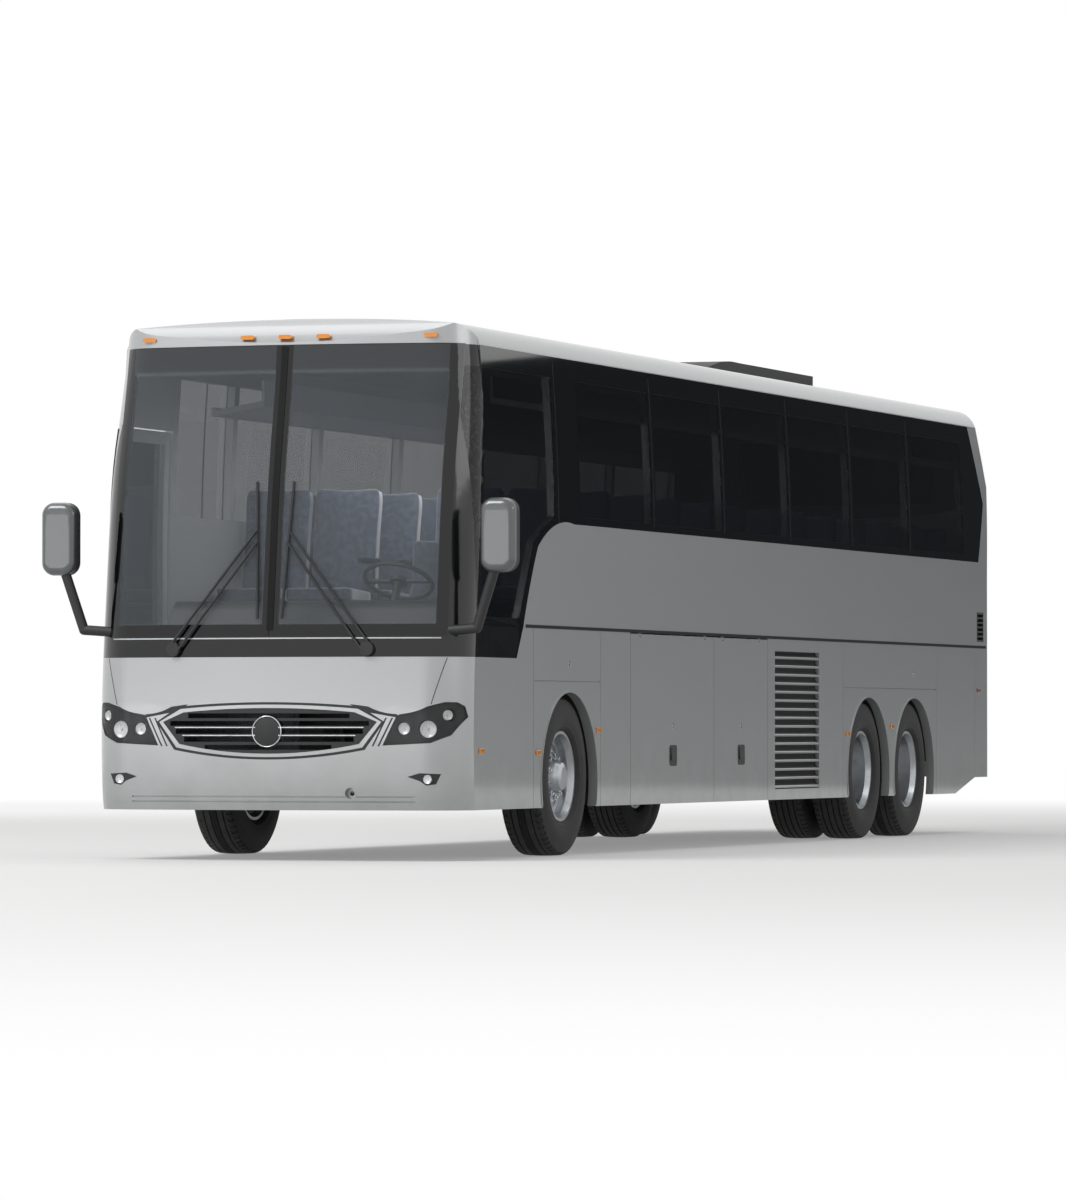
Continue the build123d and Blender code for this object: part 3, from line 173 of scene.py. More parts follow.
class Finish(Network):
    """One material: constants sit on its shader, and what changes over the surface is wired to it."""

    def __init__(self, name, colour, roughness, **constants):
        self.name = name
        self.material = bpy.data.materials.new(name)
        self.material.use_nodes = True
        super().__init__(self.material.node_tree)
        self.shader = self.tree.nodes["Principled BSDF"]
        self.set("Base Color", linear(colour))
        self.set("Roughness", roughness)
        for socket, value in constants.items():
            self.set(socket.replace("_", " ").title().replace("Ior", "IOR"), value)

    def set(self, socket, value):
        """Gives the shader's socket a constant or a wire."""
        self.join(self.shader.inputs[socket], value)

    def place(self, axis=None):
        """The point on the object, or its X, Y or Z as a number."""
        point = self.node("ShaderNodeTexCoord", output="Object")
        return point if axis is None else self.node("ShaderNodeSeparateXYZ", values={0: point}, output=axis)

    def noise(self, scale, detail=3.0, stretch=None):
        """A cloudy pattern from 0 to 1; stretch draws it out along an axis."""
        point = self.place()
        if stretch:
            point = self.node("ShaderNodeMapping", values={0: point, "Scale": stretch})
        values = {"Vector": point, "Scale": scale, "Detail": detail, "Roughness": NOISE_ROUGHNESS}
        return self.node("ShaderNodeTexNoise", values=values)

    def blend(self, share, first, second):
        """A colour between two others."""
        first, second = (value if isinstance(value, Wire) else linear(value) for value in (first, second))
        return self.node("ShaderNodeMix", {"data_type": "RGBA"}, {0: share, 6: first, 7: second}, output=2)

    def glancing(self):
        """How much glass mirrors: 4 % face on, and all of the light at a grazing angle."""
        turned = self.node("ShaderNodeLayerWeight", values={"Blend": 0.5}, output="Facing")
        return FACE_ON + turned.maths("POWER", turned, 5.0) * (1 - FACE_ON)

    def cover(self, share, other):
        """Mixes another shader over the main one."""
        mixed = self.node("ShaderNodeMixShader", values={0: share, 2: other})
        self.tree.links.new(self.shader.outputs[0], mixed.socket.node.inputs[1])
        self.tree.links.new(mixed.socket, self.tree.nodes["Material Output"].inputs["Surface"])

    def relief(self, height, depth, strength):
        """Bump from a height between 0 and 1, which stands for a depth in metres."""
        bump = self.node("ShaderNodeBump", values={"Height": height, "Distance": depth, "Strength": strength})
        self.set("Normal", bump)


def linear(colour):
    """A hex colour as the screen shows it, turned into the linear numbers that a shader takes."""
    shown = [int(colour[start:start + 2], 16) / 255 for start in (1, 3, 5)]
    bright = [value / 12.92 if value <= 0.04045 else ((value + 0.055) / 1.055) ** 2.4 for value in shown]
    return bright + [1.0]


# %% [markdown]
# ## Paint
# Coach silver is a metallic base under a clear coat: small flakes give it its sparkle, and the coat gives it
# sharp reflections. The flakes are a very fine noise on the colour. Road film gathers near the skirt, where
# it dulls the coat and turns the silver a little brown.

# %% Painted finishes
FLAKES = (1400.0, 1.0)
# Heights between which road film fades out
ROAD_FILM = (0.25, 0.95)


def road_film(finish):
    """How much dust lies on a point: most at the skirt, broken up by noise."""
    return (1 - finish.place("Z").above(*ROAD_FILM)) * finish.noise(3.0, 6.0).above(0.25, 0.8)


def silver_paint():
    paint = Finish("silver_paint", "#A7A9A9", 0.36, metallic=0.55, coat_weight=0.6, coat_roughness=0.05)
    flakes = paint.noise(*FLAKES)
    clouds = paint.noise(0.6, 2.0)
    film = road_film(paint)
    tone = paint.blend(flakes.above(0.3, 0.7), "#9C9E9F", "#B4B6B7")
    tone = paint.blend(clouds * 0.25, tone, "#929596")
    paint.set("Base Color", paint.blend(film * 0.30, tone, "#6F6B64"))
    paint.set("Roughness", 0.32 + flakes * 0.05 + film * 0.18)
    paint.relief(paint.noise(9.0, 1.0), 0.0006, 0.12)
    return paint


def mirror_shell():
    """A darker metallic paint, for the mirror heads."""
    paint = Finish("mirror_shell", "#56595A", 0.34, metallic=0.5, coat_weight=0.7, coat_roughness=0.04)
    flakes = paint.noise(*FLAKES)
    insects = paint.noise(90.0, 4.0).above(0.66, 0.74)
    paint.set("Base Color", paint.blend(insects * 0.5, paint.blend(flakes, "#4E5152", "#626566"), "#3B3833"))
    paint.set("Roughness", 0.30 + insects * 0.3)
    return paint


# %% [markdown]
# ## Glass
# The side panes are tinted so dark that only a hint of the cabin comes through. Real glass bends light, but a
# renderer then needs long paths to light the cabin behind it. A thin pane barely bends what is behind it, so
# here it is a glossy skin that is partly clear: its alpha is how much it hides, and it rises at grazing
# angles, where glass reflects most. On the side panes that skin is dark, a real tint. On the windscreen it is
# grey and hides little, and that grey is a veil of painted reflection. A pane has two faces, so light passes
# its tint twice.
# Its edges are printed black to hide the glue and the wall behind them, and the print is a sum of soft steps
# along the axes.

# %% Glass finishes
PRINT_BLACK = "#08090A"
# Steps of the windscreen's print: its shade band, its sides, the joint in the middle, and its foot
SCREEN_BAND = (3.17, 3.22)
SCREEN_EDGE = (1.10, 1.11)
SCREEN_MIDDLE = (0.055, 0.060)
SCREEN_FOOT = (1.535, 1.545)
BAND_SHADE = 0.72
# Windows behind the side glass: sill and head, the posts between them, and how soft a printed edge is
SILL_Z = 2.300
HEAD_Z = 3.224
POST_HALF = 0.045
PANE_FRONT = -4.300
PANE_REAR = 5.960
PANE_COUNT = 6
POST_YS = [PANE_FRONT + (PANE_REAR - PANE_FRONT) * i / PANE_COUNT for i in range(PANE_COUNT + 1)]
SOFT = 0.004
# The driver's window: its lower rear edge as points of (station, height), up to its rear post
DRIVER_SILL = [(-5.550, 1.591), (-5.240, 2.115), (-4.800, 2.290)]
# Where the windows start behind the entrance door
DOOR_POST_Y = -5.360


def pane(name, colour, tint_and_painted_veil, cover):
    """A thin pane; its third value is how much it hides: the real tint of dark glass, and on the windscreen a
    grey veil of painted reflection. cover is a function for where it is printed black.
    """
    glass = Finish(name, colour, 0.03, ior=1.5)
    hidden = tint_and_painted_veil + glass.glancing() * (1 - tint_and_painted_veil)
    printed = cover(glass)
    glass.set("Base Color", glass.blend(printed, colour, PRINT_BLACK))
    glass.set("Alpha", hidden + printed * (1 - hidden))
    glass.set("Roughness", 0.02 + glass.noise(4.0, 3.0) * 0.03)
    return glass


def screen_print(glass):
    """The windscreen's printed edge and its shade band."""
    aside, z = glass.place("X").magnitude(), glass.place("Z")
    band = z.above(*SCREEN_BAND) * BAND_SHADE
    middle = 1 - aside.above(*SCREEN_MIDDLE)
    foot = 1 - z.above(*SCREEN_FOOT)
    return (band + aside.above(*SCREEN_EDGE) + middle + foot).above(0.0, 1.0)


def slope(y, z, start, end):
    """How far a point lies above the line through two others."""
    rise = (end[1] - start[1]) / (end[0] - start[0])
    return z - (start[1] + (y - start[0]) * rise)


def side_print(glass):
    """The side panes' printed edges, which hide the wall behind them."""
    x, y, z = (glass.place(axis) for axis in "XYZ")
    foot, hip, top = DRIVER_SILL
    left = x.above(0.0, 0.1)
    posts = sum(1 - (y - post).magnitude().above(POST_HALF, POST_HALF + SOFT) for post in POST_YS)
    tail = y.above(PANE_REAR, PANE_REAR + SOFT)
    door_post = (1 - left) * (1 - y.above(DOOR_POST_Y - SOFT, DOOR_POST_Y))
    wide_post = left * y.above(top[0] - SOFT, top[0]) * (1 - y.above(PANE_FRONT, PANE_FRONT + SOFT))
    under = y.above(foot[0], foot[0] + SOFT)
    for start, end in ((foot, hip), (hip, top)):
        under = under * (1 - slope(y, z, start, end).above(0.0, SOFT))
    driver = left * (1 - y.above(PANE_FRONT - SOFT, PANE_FRONT))
    low = driver * under + (1 - driver) * (1 - z.above(SILL_Z - SOFT, SILL_Z))
    high = z.above(HEAD_Z, HEAD_Z + SOFT)
    return (posts + tail + wide_post + door_post + low + high).above(0.0, 1.0)


def lamp_glass():
    """The clear covers of the head lamps, a little smoky."""
    lens = Finish("lamp_glass", "#1C2024", 0.04, ior=1.6)
    lens.set("Alpha", 0.05 + lens.glancing() * 0.9)
    lens.set("Roughness", 0.03 + lens.noise(30.0) * 0.03)
    return lens


def ribbed_lens(name, colour, roughness, along, ribs, tones, depth, strength):
    """A coloured lamp lens, moulded with ribs that follow each other along an axis."""
    lens = Finish(name, colour, roughness, coat_weight=1.0)
    wave = lens.node("ShaderNodeTexWave", {"bands_direction": along}, {"Vector": lens.place(), "Scale": ribs})
    lens.set("Base Color", lens.blend(wave, *tones))
    lens.relief(wave, depth, strength)
    return lens


# %% [markdown]
# ## Rubber, plastic, metal and cloth
# Each of these gets one large, soft variation, which is dirt and wear, and one small one, which is its grain.
# Most of them wear in the same way, so one function makes them, and only their numbers differ.


# %% Finishes that wear in one way
def worn(name, colour, roughness, noise, dirt, tones, dulling, grain=None, **constants):
    """A finish whose dirt follows one noise of (scale, detail).

    dirt holds the levels between which it comes up and its share, tones the clean and the dirty colour,
    dulling the clean roughness and what the noise adds, and grain the scale, detail, depth and strength of
    a bump.
    """
    finish = Finish(name, colour, roughness, **constants)
    cloud = finish.noise(*noise)
    finish.set("Base Color", finish.blend(cloud.above(*dirt[:2]) * dirt[2], *tones))
    if dulling:
        finish.set("Roughness", dulling[0] + cloud * dulling[1])
    if grain:
        finish.relief(finish.noise(*grain[:2]), *grain[2:])
    return finish


worn_finishes = [
    worn("black_gloss", "#0D0E10", 0.10, (5.0, 5.0), (0.45, 0.85, 0.20), ("#08090A", "#1E1F20"), (0.08, 0.10),
         coat_weight=0.2, coat_roughness=0.03),
    worn("black_paint", "#1A1B1C", 0.5, (7.0, 6.0), (0.4, 0.8, 0.5), ("#161718", "#45423D"), (0.42, 0.3),
         (260.0, 2.0, 0.0006, 0.3)),
    worn("black_plastic", "#1B1C1E", 0.55, (6.0, 5.0), (0.4, 0.9, 0.3), ("#17181A", "#3A3936"), (0.45, 0.2),
         (700.0, 2.0, 0.0003, 0.35)),
    worn("chrome", "#D6D8DA", 0.08, (24.0, 4.0), (0.5, 0.9, 0.4), ("#DCDEE0", "#9FA1A3"), (0.05, 0.10),
         metallic=1.0),
    worn("mirror_glass", "#C6CACE", 0.02, (35.0, 5.0), (0.55, 0.9, 0.3), ("#CBCFD3", "#9A9DA0"), (0.01, 0.05),
         metallic=1.0),
    worn("seal_rubber", "#101112", 0.6, (40.0, 4.0), (0.5, 0.9, 0.3), ("#0E0F10", "#2C2B2A"), (0.5, 0.2),
         specular_ior_level=0.15),
    worn("blank_plate", "#D9D9D4", 0.4, (30.0, 5.0), (0.5, 0.9, 0.4), ("#DCDCD7", "#A39F95"), (0.35, 0.2),
         coat_weight=0.3),
    worn("tyre_rubber", "#1A1A1B", 0.75, (14.0, 6.0), (0.35, 0.8, 0.55), ("#161617", "#3C3A37"), (0.62, 0.25),
         (500.0, 2.0, 0.0004, 0.4)),
    worn("polished_rim", "#C4C7CA", 0.22, (18.0, 5.0), (0.45, 0.85, 0.4), ("#B4B7BA", "#817D78"),
         (0.24, 0.16), (420.0, 2.0, 0.0002, 0.25), metallic=1.0),
    worn("engine_iron", "#4A4C4E", 0.6, (11.0, 7.0), (0.5, 0.75, 0.6), ("#45474A", "#5A4636"), None,
         (90.0, 4.0, 0.002, 0.5), metallic=0.6),
]
print("worn finishes", len(worn_finishes))


# %% Other finishes
def reflector():
    """The satin metal inside the lamps' bowls."""
    metal = Finish("reflector", "#E6E8EA", 0.28, metallic=0.3)
    haze = metal.noise(60.0, 3.0)
    metal.set("Base Color", metal.blend(haze * 0.5, "#ECEEF0", "#C8CACC"))
    metal.set("Roughness", 0.22 + haze * 0.14)
    return metal


def cabin_floor():
    floor = Finish("cabin_floor", "#3A3C40", 0.7)
    specks = floor.noise(240.0, 1.0)
    floor.set("Base Color", floor.blend(specks.above(0.52, 0.62), "#34363A", "#5A5D62"))
    floor.relief(specks, 0.0005, 0.3)
    return floor


def seat_cloth():
    cloth = Finish("seat_cloth", "#3C4048", 0.85, sheen_weight=0.4)
    weave = cloth.noise(900.0, 1.0, stretch=(1.0, 1.0, 0.35))
    patches = cloth.noise(26.0, 1.0)
    tone = cloth.blend(patches.above(0.46, 0.58), "#353A44", "#414957")
    cloth.set("Base Color", cloth.blend(weave * 0.4, tone, "#242830"))
    cloth.relief(weave, 0.0008, 0.5)
    return cloth


def trim_plastic():
    plastic = Finish("trim_plastic", "#8B8D90", 0.5)
    grain = plastic.noise(600.0, 2.0)
    plastic.set("Base Color", plastic.blend(grain, "#85878B", "#93959A"))
    plastic.relief(grain, 0.0003, 0.35)
    return plastic


# %% Give each node the finish of its slot
all_finishes = [
    silver_paint(), mirror_shell(), pane("dark_glass", "#07090B", 0.62, side_print),
    # The windscreen's grey at an alpha of 0.11, rising at grazing angles, is painted reflection: a pale veil
    # over the cabin
    pane("windscreen_glass", "#7E858B", 0.11, screen_print), lamp_glass(),
    ribbed_lens("red_lamp", "#8E1015", 0.08, "Z", 40.0, ("#6E0A10", "#B01820"), 0.002, 0.5),
    ribbed_lens("amber_lamp", "#D9820F", 0.1, "X", 60.0, ("#C96F08", "#F09A22"), 0.001, 0.4),
    reflector(), cabin_floor(), seat_cloth(), trim_plastic(), *worn_finishes,
]
finishes = {finish.name: finish for finish in all_finishes}


def dress(thing, finish):
    """Gives an object one finish."""
    thing.data.materials.clear()
    thing.data.materials.append(finish.material)


for row in frame["record"]["subparts"]:
    dress(frame["nodes"][row["node"]], finishes[row["material_slot"]])
print("finishes", len(finishes))

# %% [markdown]
# ## Adding pieces
# What a solid model leaves out is modelled here with bmesh, straight at its place on the coach. Each new
# piece rides a body of the frame, so it turns with its wheel or opens with its door, and it takes a finish
# by slot.

# %% A finished mesh becomes a piece
# Edges sharper than this many degrees stay crisp: on spun curves, soft blocks, treads, locks and covers
CURVE_ANGLE = 50.0
BLOCK_ANGLE = 40.0
TREAD_ANGLE = 35.0
LOCK_ANGLE = 30.0


def make_object(name, bm, finish):
    """Turns a bmesh into an object that wears a finish."""
    mesh = bpy.data.meshes.new(name)
    bm.to_mesh(mesh)
    bm.free()
    made = bpy.data.objects.new(name, mesh)
    bpy.context.scene.collection.objects.link(made)
    dress(made, finish)
    return made


def shade_smooth(made, angle):
    """Smooth shading, with edges sharper than the angle left crisp."""
    made.data.shade_smooth()
    with bpy.context.temp_override(object=made, active_object=made, selected_editable_objects=[made]):
        bpy.ops.object.shade_smooth_by_angle(angle=radians(angle))


def settle(name, bm, body, slot, replaced=(), angle=None):
    """Makes a piece of a bmesh: it rides a body, wears a slot's finish, and may stand for solid nodes.

    A piece that is given an angle is shaded smooth.
    """
    bmesh.ops.recalc_face_normals(bm, faces=bm.faces)
    made = make_object(name, bm, finishes[slot])
    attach(made, body)
    if replaced:
        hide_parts(*replaced)
    if angle:
        shade_smooth(made, angle)
    print(name, "faces", len(made.data.polygons))
    return made


# %% [markdown]
# ## Five shapes used again and again
# Small hardware is made of a few shapes: a box, a box with rounded edges, a plate with round corners, discs
# stacked on each other, and a curve spun about an axis. All but the plain box are put at their place by a
# matrix, whose Z looks out of the surface that they stand on.

# %% Basic shapes
UP = Vector((0, 0, 1))
BACKWARDS = Vector((0, 1, 0))
BEVEL_SHARE = 0.3
BEVEL_STEPS = 3


def facing(point, outward):
    """A place at a point whose Z looks outwards."""
    return Matrix.Translation(point) @ outward.to_track_quat("Z", "Y").to_matrix().to_4x4()


def brick(bm, low, high):
    """A plain box between two corners."""
    middle, size = (Vector(low) + Vector(high)) / 2, Vector(high) - Vector(low)
    bmesh.ops.create_cube(bm, size=1.0, matrix=Matrix.Translation(middle) @ Matrix.Diagonal((*size, 1.0)))


def soft_block(bm, place, size):
    """A box with rounded edges."""
    matrix = place @ Matrix.Translation((0, 0, size[2] / 2)) @ Matrix.Diagonal((*size, 1.0))
    verts = bmesh.ops.create_cube(bm, size=1.0, matrix=matrix)["verts"]
    edges = dict.fromkeys(edge for vert in verts for edge in vert.link_edges)
    bmesh.ops.bevel(bm, geom=list(edges), offset=min(size) * BEVEL_SHARE, offset_type="OFFSET",
                    segments=BEVEL_STEPS, profile=0.5, affect="EDGES", material=-1)


def rounded_plate(bm, place, width, height, radius, thickness, steps=8):
    """A flat plate with round corners."""
    rim = []
    for corner, (side, top) in enumerate(((1, 1), (-1, 1), (-1, -1), (1, -1))):
        middle = Vector((side * (width / 2 - radius), top * (height / 2 - radius), 0))
        for i in range(steps + 1):
            turn = pi / 2 * (corner + i / steps)
            rim.append(bm.verts.new(place @ (middle + Vector((radius * cos(turn), radius * sin(turn), 0)))))
    raised = bmesh.ops.extrude_face_region(bm, geom=[bm.faces.new(rim)])["geom"]
    lifted = [item for item in raised if isinstance(item, bmesh.types.BMVert)]
    bmesh.ops.translate(bm, verts=lifted, vec=place.to_3x3() @ Vector((0, 0, thickness)))


def stack_discs(bm, place, stages):
    """Prisms and cones that stand on each other along a place's Z: sides, radius at foot and tip, height."""
    for sides, foot, tip, height in stages:
        middle = place @ Matrix.Translation((0, 0, height / 2))
        bmesh.ops.create_cone(bm, cap_ends=True, segments=sides, radius1=foot, radius2=tip, depth=height,
                              matrix=middle)
        place = place @ Matrix.Translation((0, 0, height))


def spin_round(bm, place, curve, steps=36):
    """A curve of (radius, height) spun about a place's Z."""
    verts = [bm.verts.new(place @ Vector((r, 0, h))) for r, h in curve]
    edges = [bm.edges.new(pair) for pair in zip(verts, verts[1:])]
    bmesh.ops.spin(bm, geom=verts + edges, cent=place.translation, axis=place.to_3x3() @ UP, angle=2 * pi,
                   steps=steps, use_merge=True)


# %% [markdown]
# ## Tyres
# A coach tyre is 315 mm wide, with four deep grooves that run round it to drain water, and short slots in its
# shoulders. Only half of its section is written; the other half is its mirror image. The section is spun
# about the axle, and the slots are pressed into every second face of the shoulder.

# %% Tyre section
TYRE_WIDTH = 0.315
CROWN_DROP = 0.005
GROOVES = [(0.017, 0.029), (0.064, 0.076)]
GROOVE_DEPTH = 0.014
GROOVE_SLOPE = 0.002
SHOULDER_X = 0.117
# The rounded shoulder: distance from the middle, and how far under the crown
SHOULDER_CURVE = [(0.129, 0.011), (0.136, 0.022), (0.1395, 0.038)]
# The shoulder's slots: from and to this far from the middle, no lower than this under the crown, inset, depth
SLOT_BAND = (0.095, 0.136)
SLOT_DROP = 0.03
SLOT_INSET = 0.002
SLOT_DEPTH = 0.006
# The wall from shoulder to bead bulges to the full width, with a ridge above the bead that guards the rim
WALL_CURVE = [(0.1490, 0.465), (0.1555, 0.430), (0.1575, 0.398), (0.1545, 0.366), (0.1480, 0.348),
              (0.1490, 0.342), (0.1440, 0.334), (0.1290, 0.316), (0.115, 0.309), (0.113, 0.290)]
TYRE_STEPS = 120


def tyre_half(radius):
    """Half a section as (distance from the middle, radius), from the crown to the bead."""
    def crown(x):
        return radius - CROWN_DROP * (x / SHOULDER_X) ** 2

    points = []
    for start, end in GROOVES:
        points += [(start, crown(start)), (start + GROOVE_SLOPE, crown(start) - GROOVE_DEPTH),
                   (end - GROOVE_SLOPE, crown(end) - GROOVE_DEPTH), (end, crown(end))]
    points += [(x, crown(x)) for x in (SLOT_BAND[0], SHOULDER_X)]
    points += [(x, radius - drop) for x, drop in SHOULDER_CURVE]
    return points + WALL_CURVE


def spin_tyre(bm, centre, radius):
    """One tyre about an axle along X."""
    half = tyre_half(radius)
    section = [(-x, r) for x, r in reversed(half)] + half
    verts = [bm.verts.new((centre.x + x, centre.y, centre.z + r)) for x, r in section]
    edges = [bm.edges.new(pair) for pair in zip(verts, verts[1:] + verts[:1])]
    bmesh.ops.spin(bm, geom=verts + edges, cent=centre, axis=(1, 0, 0), angle=2 * pi, steps=TYRE_STEPS,
                   use_merge=True)
    bmesh.ops.recalc_face_normals(bm, faces=bm.faces)
    slots = []
    for face in bm.faces:
        middle = face.calc_center_median() - centre
        out = hypot(middle.y, middle.z)
        turn = int((atan2(middle.z, middle.y) / (2 * pi) + 0.5) * TYRE_STEPS)
        if SLOT_BAND[0] < abs(middle.x) < SLOT_BAND[1] and out > radius - SLOT_DROP and turn % 2:
            slots.append(face)
    bmesh.ops.inset_region(bm, faces=slots, thickness=SLOT_INSET, depth=-SLOT_DEPTH)


# %% Spin the tyres
for node in sorted(name for name in frame["nodes"] if name.startswith("tyre_")):
    low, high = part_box(node)
    tyre_bm = bmesh.new()
    for x in {round(low.x + TYRE_WIDTH / 2, 4), round(high.x - TYRE_WIDTH / 2, 4)}:
        spin_tyre(tyre_bm, Vector((x, (low.y + high.y) / 2, (low.z + high.z) / 2)), (high.z - low.z) / 2)
    settle(node.replace("tyre", "tread"), tyre_bm, node.replace("tyre", "wheel"), "tyre_rubber", [node],
           TREAD_ANGLE)

# %% [markdown]
# ## Seats
# Coach seats are foam under woven cloth: each pad is crowned, its sides pull in between the corners, and
# seams are sewn down its face. One pad starts as a cube cut into a grid, which formulas turn into that
# form, and a subdivision surface rounds it. The steel feet between the pads are plain boxes.

# %% Pads
PAD_CUTS = 5
PAD_CROWN = 0.28
PAD_PULL = 0.045
SEAM_DEPTH = 0.22
SEAM_AT = 1 / 3
NEAR = 0.01


def pad(bm, size, place, top=1):
    """A pad in the box of a size, put at its place by a matrix; top is the sign of Z where its seams are."""
    count = len(bm.verts)
    corner_verts = bmesh.ops.create_cube(bm, size=2.0)["verts"]
    edges = dict.fromkeys(edge for vert in corner_verts for edge in vert.link_edges)
    bmesh.ops.subdivide_edges(bm, edges=list(edges), cuts=PAD_CUTS, use_grid_fill=True)
    bm.verts.ensure_lookup_table()
    for vert in bm.verts[count:]:
        u, v, w = vert.co
        seam = abs(abs(u) - SEAM_AT) < NEAR and abs(v) < 1 - NEAR and w * top > 1 - NEAR
        w = w * (1 - PAD_CROWN * (1 - (1 - u * u) * (1 - v * v))) - top * SEAM_DEPTH * seam
        u, v = u * (1 - PAD_PULL * (1 - v * v)), v * (1 - PAD_PULL * (1 - u * u))
        vert.co = place @ Vector((u * size[0] / 2, v * size[1] / 2, w * size[2] / 2))


def upholster(name, bm, replaced):
    """A padded piece of many pads, shaded smooth and rounded."""
    made = settle(name, bm, "root", "seat_cloth", replaced)
    made.data.shade_smooth()
    rounding = made.modifiers.new("rounding", "SUBSURF")
    rounding.levels = rounding.render_levels = 1
    return made


# %% Rows of seats
ROW_START = 0.015
SEAT_PITCH = 0.82
SEAT_XS = (0.445, 0.955)
CUSHION_SIZE = (0.48, 0.46, 0.13)
BACK_SIZE = (0.48, 0.80, 0.12)
CUSHION_Y = 0.215
CUSHION_Z = 0.375
CUSHION_TILT = Matrix.Rotation(radians(-3), 4, "X")
BACK_Y = 0.575
BACK_Z = 0.735
BACK_LEAN = Matrix.Rotation(radians(-99), 4, "X") @ Matrix.Rotation(pi, 4, "Y")

seats_low, seats_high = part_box("passenger_seats")
deck_z = seats_low.z
first_y = seats_low.y + ROW_START
row_ys = [first_y + row * SEAT_PITCH for row in range(int((seats_high.y - first_y) / SEAT_PITCH) + 1)]
print("rows of seats", len(row_ys))


def seat(seat_bm, rest_bm, x, y, floor_z):
    """The cushion and the back pad of one seat."""
    cushion_place = Matrix.Translation((x, y + CUSHION_Y, floor_z + CUSHION_Z)) @ CUSHION_TILT
    pad(seat_bm, CUSHION_SIZE, cushion_place)
    pad(rest_bm, BACK_SIZE, Matrix.Translation((x, y + BACK_Y, floor_z + BACK_Z)) @ BACK_LEAN, -1)


cushion_bm, back_bm = bmesh.new(), bmesh.new()
for y in row_ys:
    for x in [sign * x for sign in (-1, 1) for x in SEAT_XS]:
        seat(cushion_bm, back_bm, x, y, deck_z)
upholster("seat_cushions", cushion_bm, ["passenger_seats"])
upholster("seat_back_pads", back_bm, ["seat_backs"])

# %% The driver's seat
DRIVER_X = 0.62
DRIVER_Y = -5.71
CAB_FLOOR_Z = 1.0
BOOT_Y = DRIVER_Y + 0.24
BOOT_STEPS = 24
# Folds of the boot under the driver's seat: radius and height
BOOT = [(0.150, 0.0), (0.150, 0.02), (0.110, 0.05), (0.135, 0.09), (0.105, 0.13), (0.130, 0.17),
        (0.100, 0.21), (0.125, 0.25), (0.095, 0.29), (0.095, 0.32)]

driver_bm = bmesh.new()
seat(driver_bm, driver_bm, DRIVER_X, DRIVER_Y, CAB_FLOOR_Z)
upholster("driver_pads", driver_bm, ["driver_seat"])
boot_bm = bmesh.new()
spin_round(boot_bm, Matrix.Translation((DRIVER_X, BOOT_Y, CAB_FLOOR_Z)), BOOT, BOOT_STEPS)
settle("driver_seat_boot", boot_bm, "root", "seal_rubber", angle=CURVE_ANGLE)

# %% Seat frames and armrests
# Two beams carry a pair of seats: their ends from the middle of the coach, fronts, depth, foot and top
BEAM_X = (0.22, 1.18)
BEAM_YS = (0.10, 0.34)
BEAM_DEPTH = 0.05
BEAM_Z = (0.290, 0.330)
# Two feet under them, each with a sole: distance from the middle, then half width, front, rear and top
FOOT_XS = (0.36, 0.92)
FOOT = (0.020, 0.20, 0.33, 0.290)
SOLE = (0.035, 0.10, 0.39, 0.012)
ARM_REST = (0.040, 0.36, 0.045)
ARM_REST_PLACE = (0.194, 0.33, 0.60)

frame_bm, rest_bm = bmesh.new(), bmesh.new()
for y in row_ys:
    for sign in (-1, 1):
        low_x, high_x = sorted(sign * x for x in BEAM_X)
        for beam_y in BEAM_YS:
            brick(frame_bm, (low_x, y + beam_y, deck_z + BEAM_Z[0]),
                  (high_x, y + beam_y + BEAM_DEPTH, deck_z + BEAM_Z[1]))
        for foot_x in FOOT_XS:
            for half, front, rear, top in (FOOT, SOLE):
                brick(frame_bm, (sign * foot_x - half, y + front, deck_z),
                      (sign * foot_x + half, y + rear, deck_z + top))
        rest_x, rest_y, rest_z = ARM_REST_PLACE
        soft_block(rest_bm, Matrix.Translation((sign * rest_x, y + rest_y, deck_z + rest_z)), ARM_REST)
settle("seat_frames", frame_bm, "root", "black_paint")
settle("arm_rests", rest_bm, "root", "black_plastic", angle=BLOCK_ANGLE)

# %% [markdown]
# ## Wheel nuts
# Ten nuts hold each wheel to its hub. A nut is a six-sided prism on a round washer, with the stud's end
# showing.

# %% Nuts
NUT_COUNT = 10
NUT_CIRCLE = 0.143
# Distance of a disc's outer face from the coach's middle, for each axle
DISC_FACE = {"front": 1.1665, "drive": 0.9415, "tag": 0.9415}
# Washer, nut and stud: sides, radius at foot and tip, height
NUT = [(20, 0.024, 0.024, 0.005), (6, 0.019, 0.019, 0.026), (12, 0.010, 0.010, 0.012)]

for axle, face_x in DISC_FACE.items():
    for side, sign in (("left", 1), ("right", -1)):
        low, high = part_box(f"rim_{axle}_{side}")
        nut_bm = bmesh.new()
        for i in range(NUT_COUNT):
            turn = 2 * pi * (i + 0.5) / NUT_COUNT
            y = (low.y + high.y) / 2 + NUT_CIRCLE * cos(turn)
            z = (low.z + high.z) / 2 + NUT_CIRCLE * sin(turn)
            place = Matrix.Translation((sign * face_x, y, z)) @ Matrix.Rotation(sign * pi / 2, 4, "Y")
            stack_discs(nut_bm, place, NUT)
        settle(f"nuts_{axle}_{side}", nut_bm, f"wheel_{axle}_{side}", "chrome")

# %% [markdown]
# ## Mouldings
# Rubber and metal strips follow the body's curved skin. A ray is cast at the skin for each point of a strip's
# path, so that the strip lies on the surface whatever its shape is, and a small box is swept along the hits.

# %% A skin to lie on, and strips on it
# How far outside the coach's box a ray starts
RAY_START = 0.5


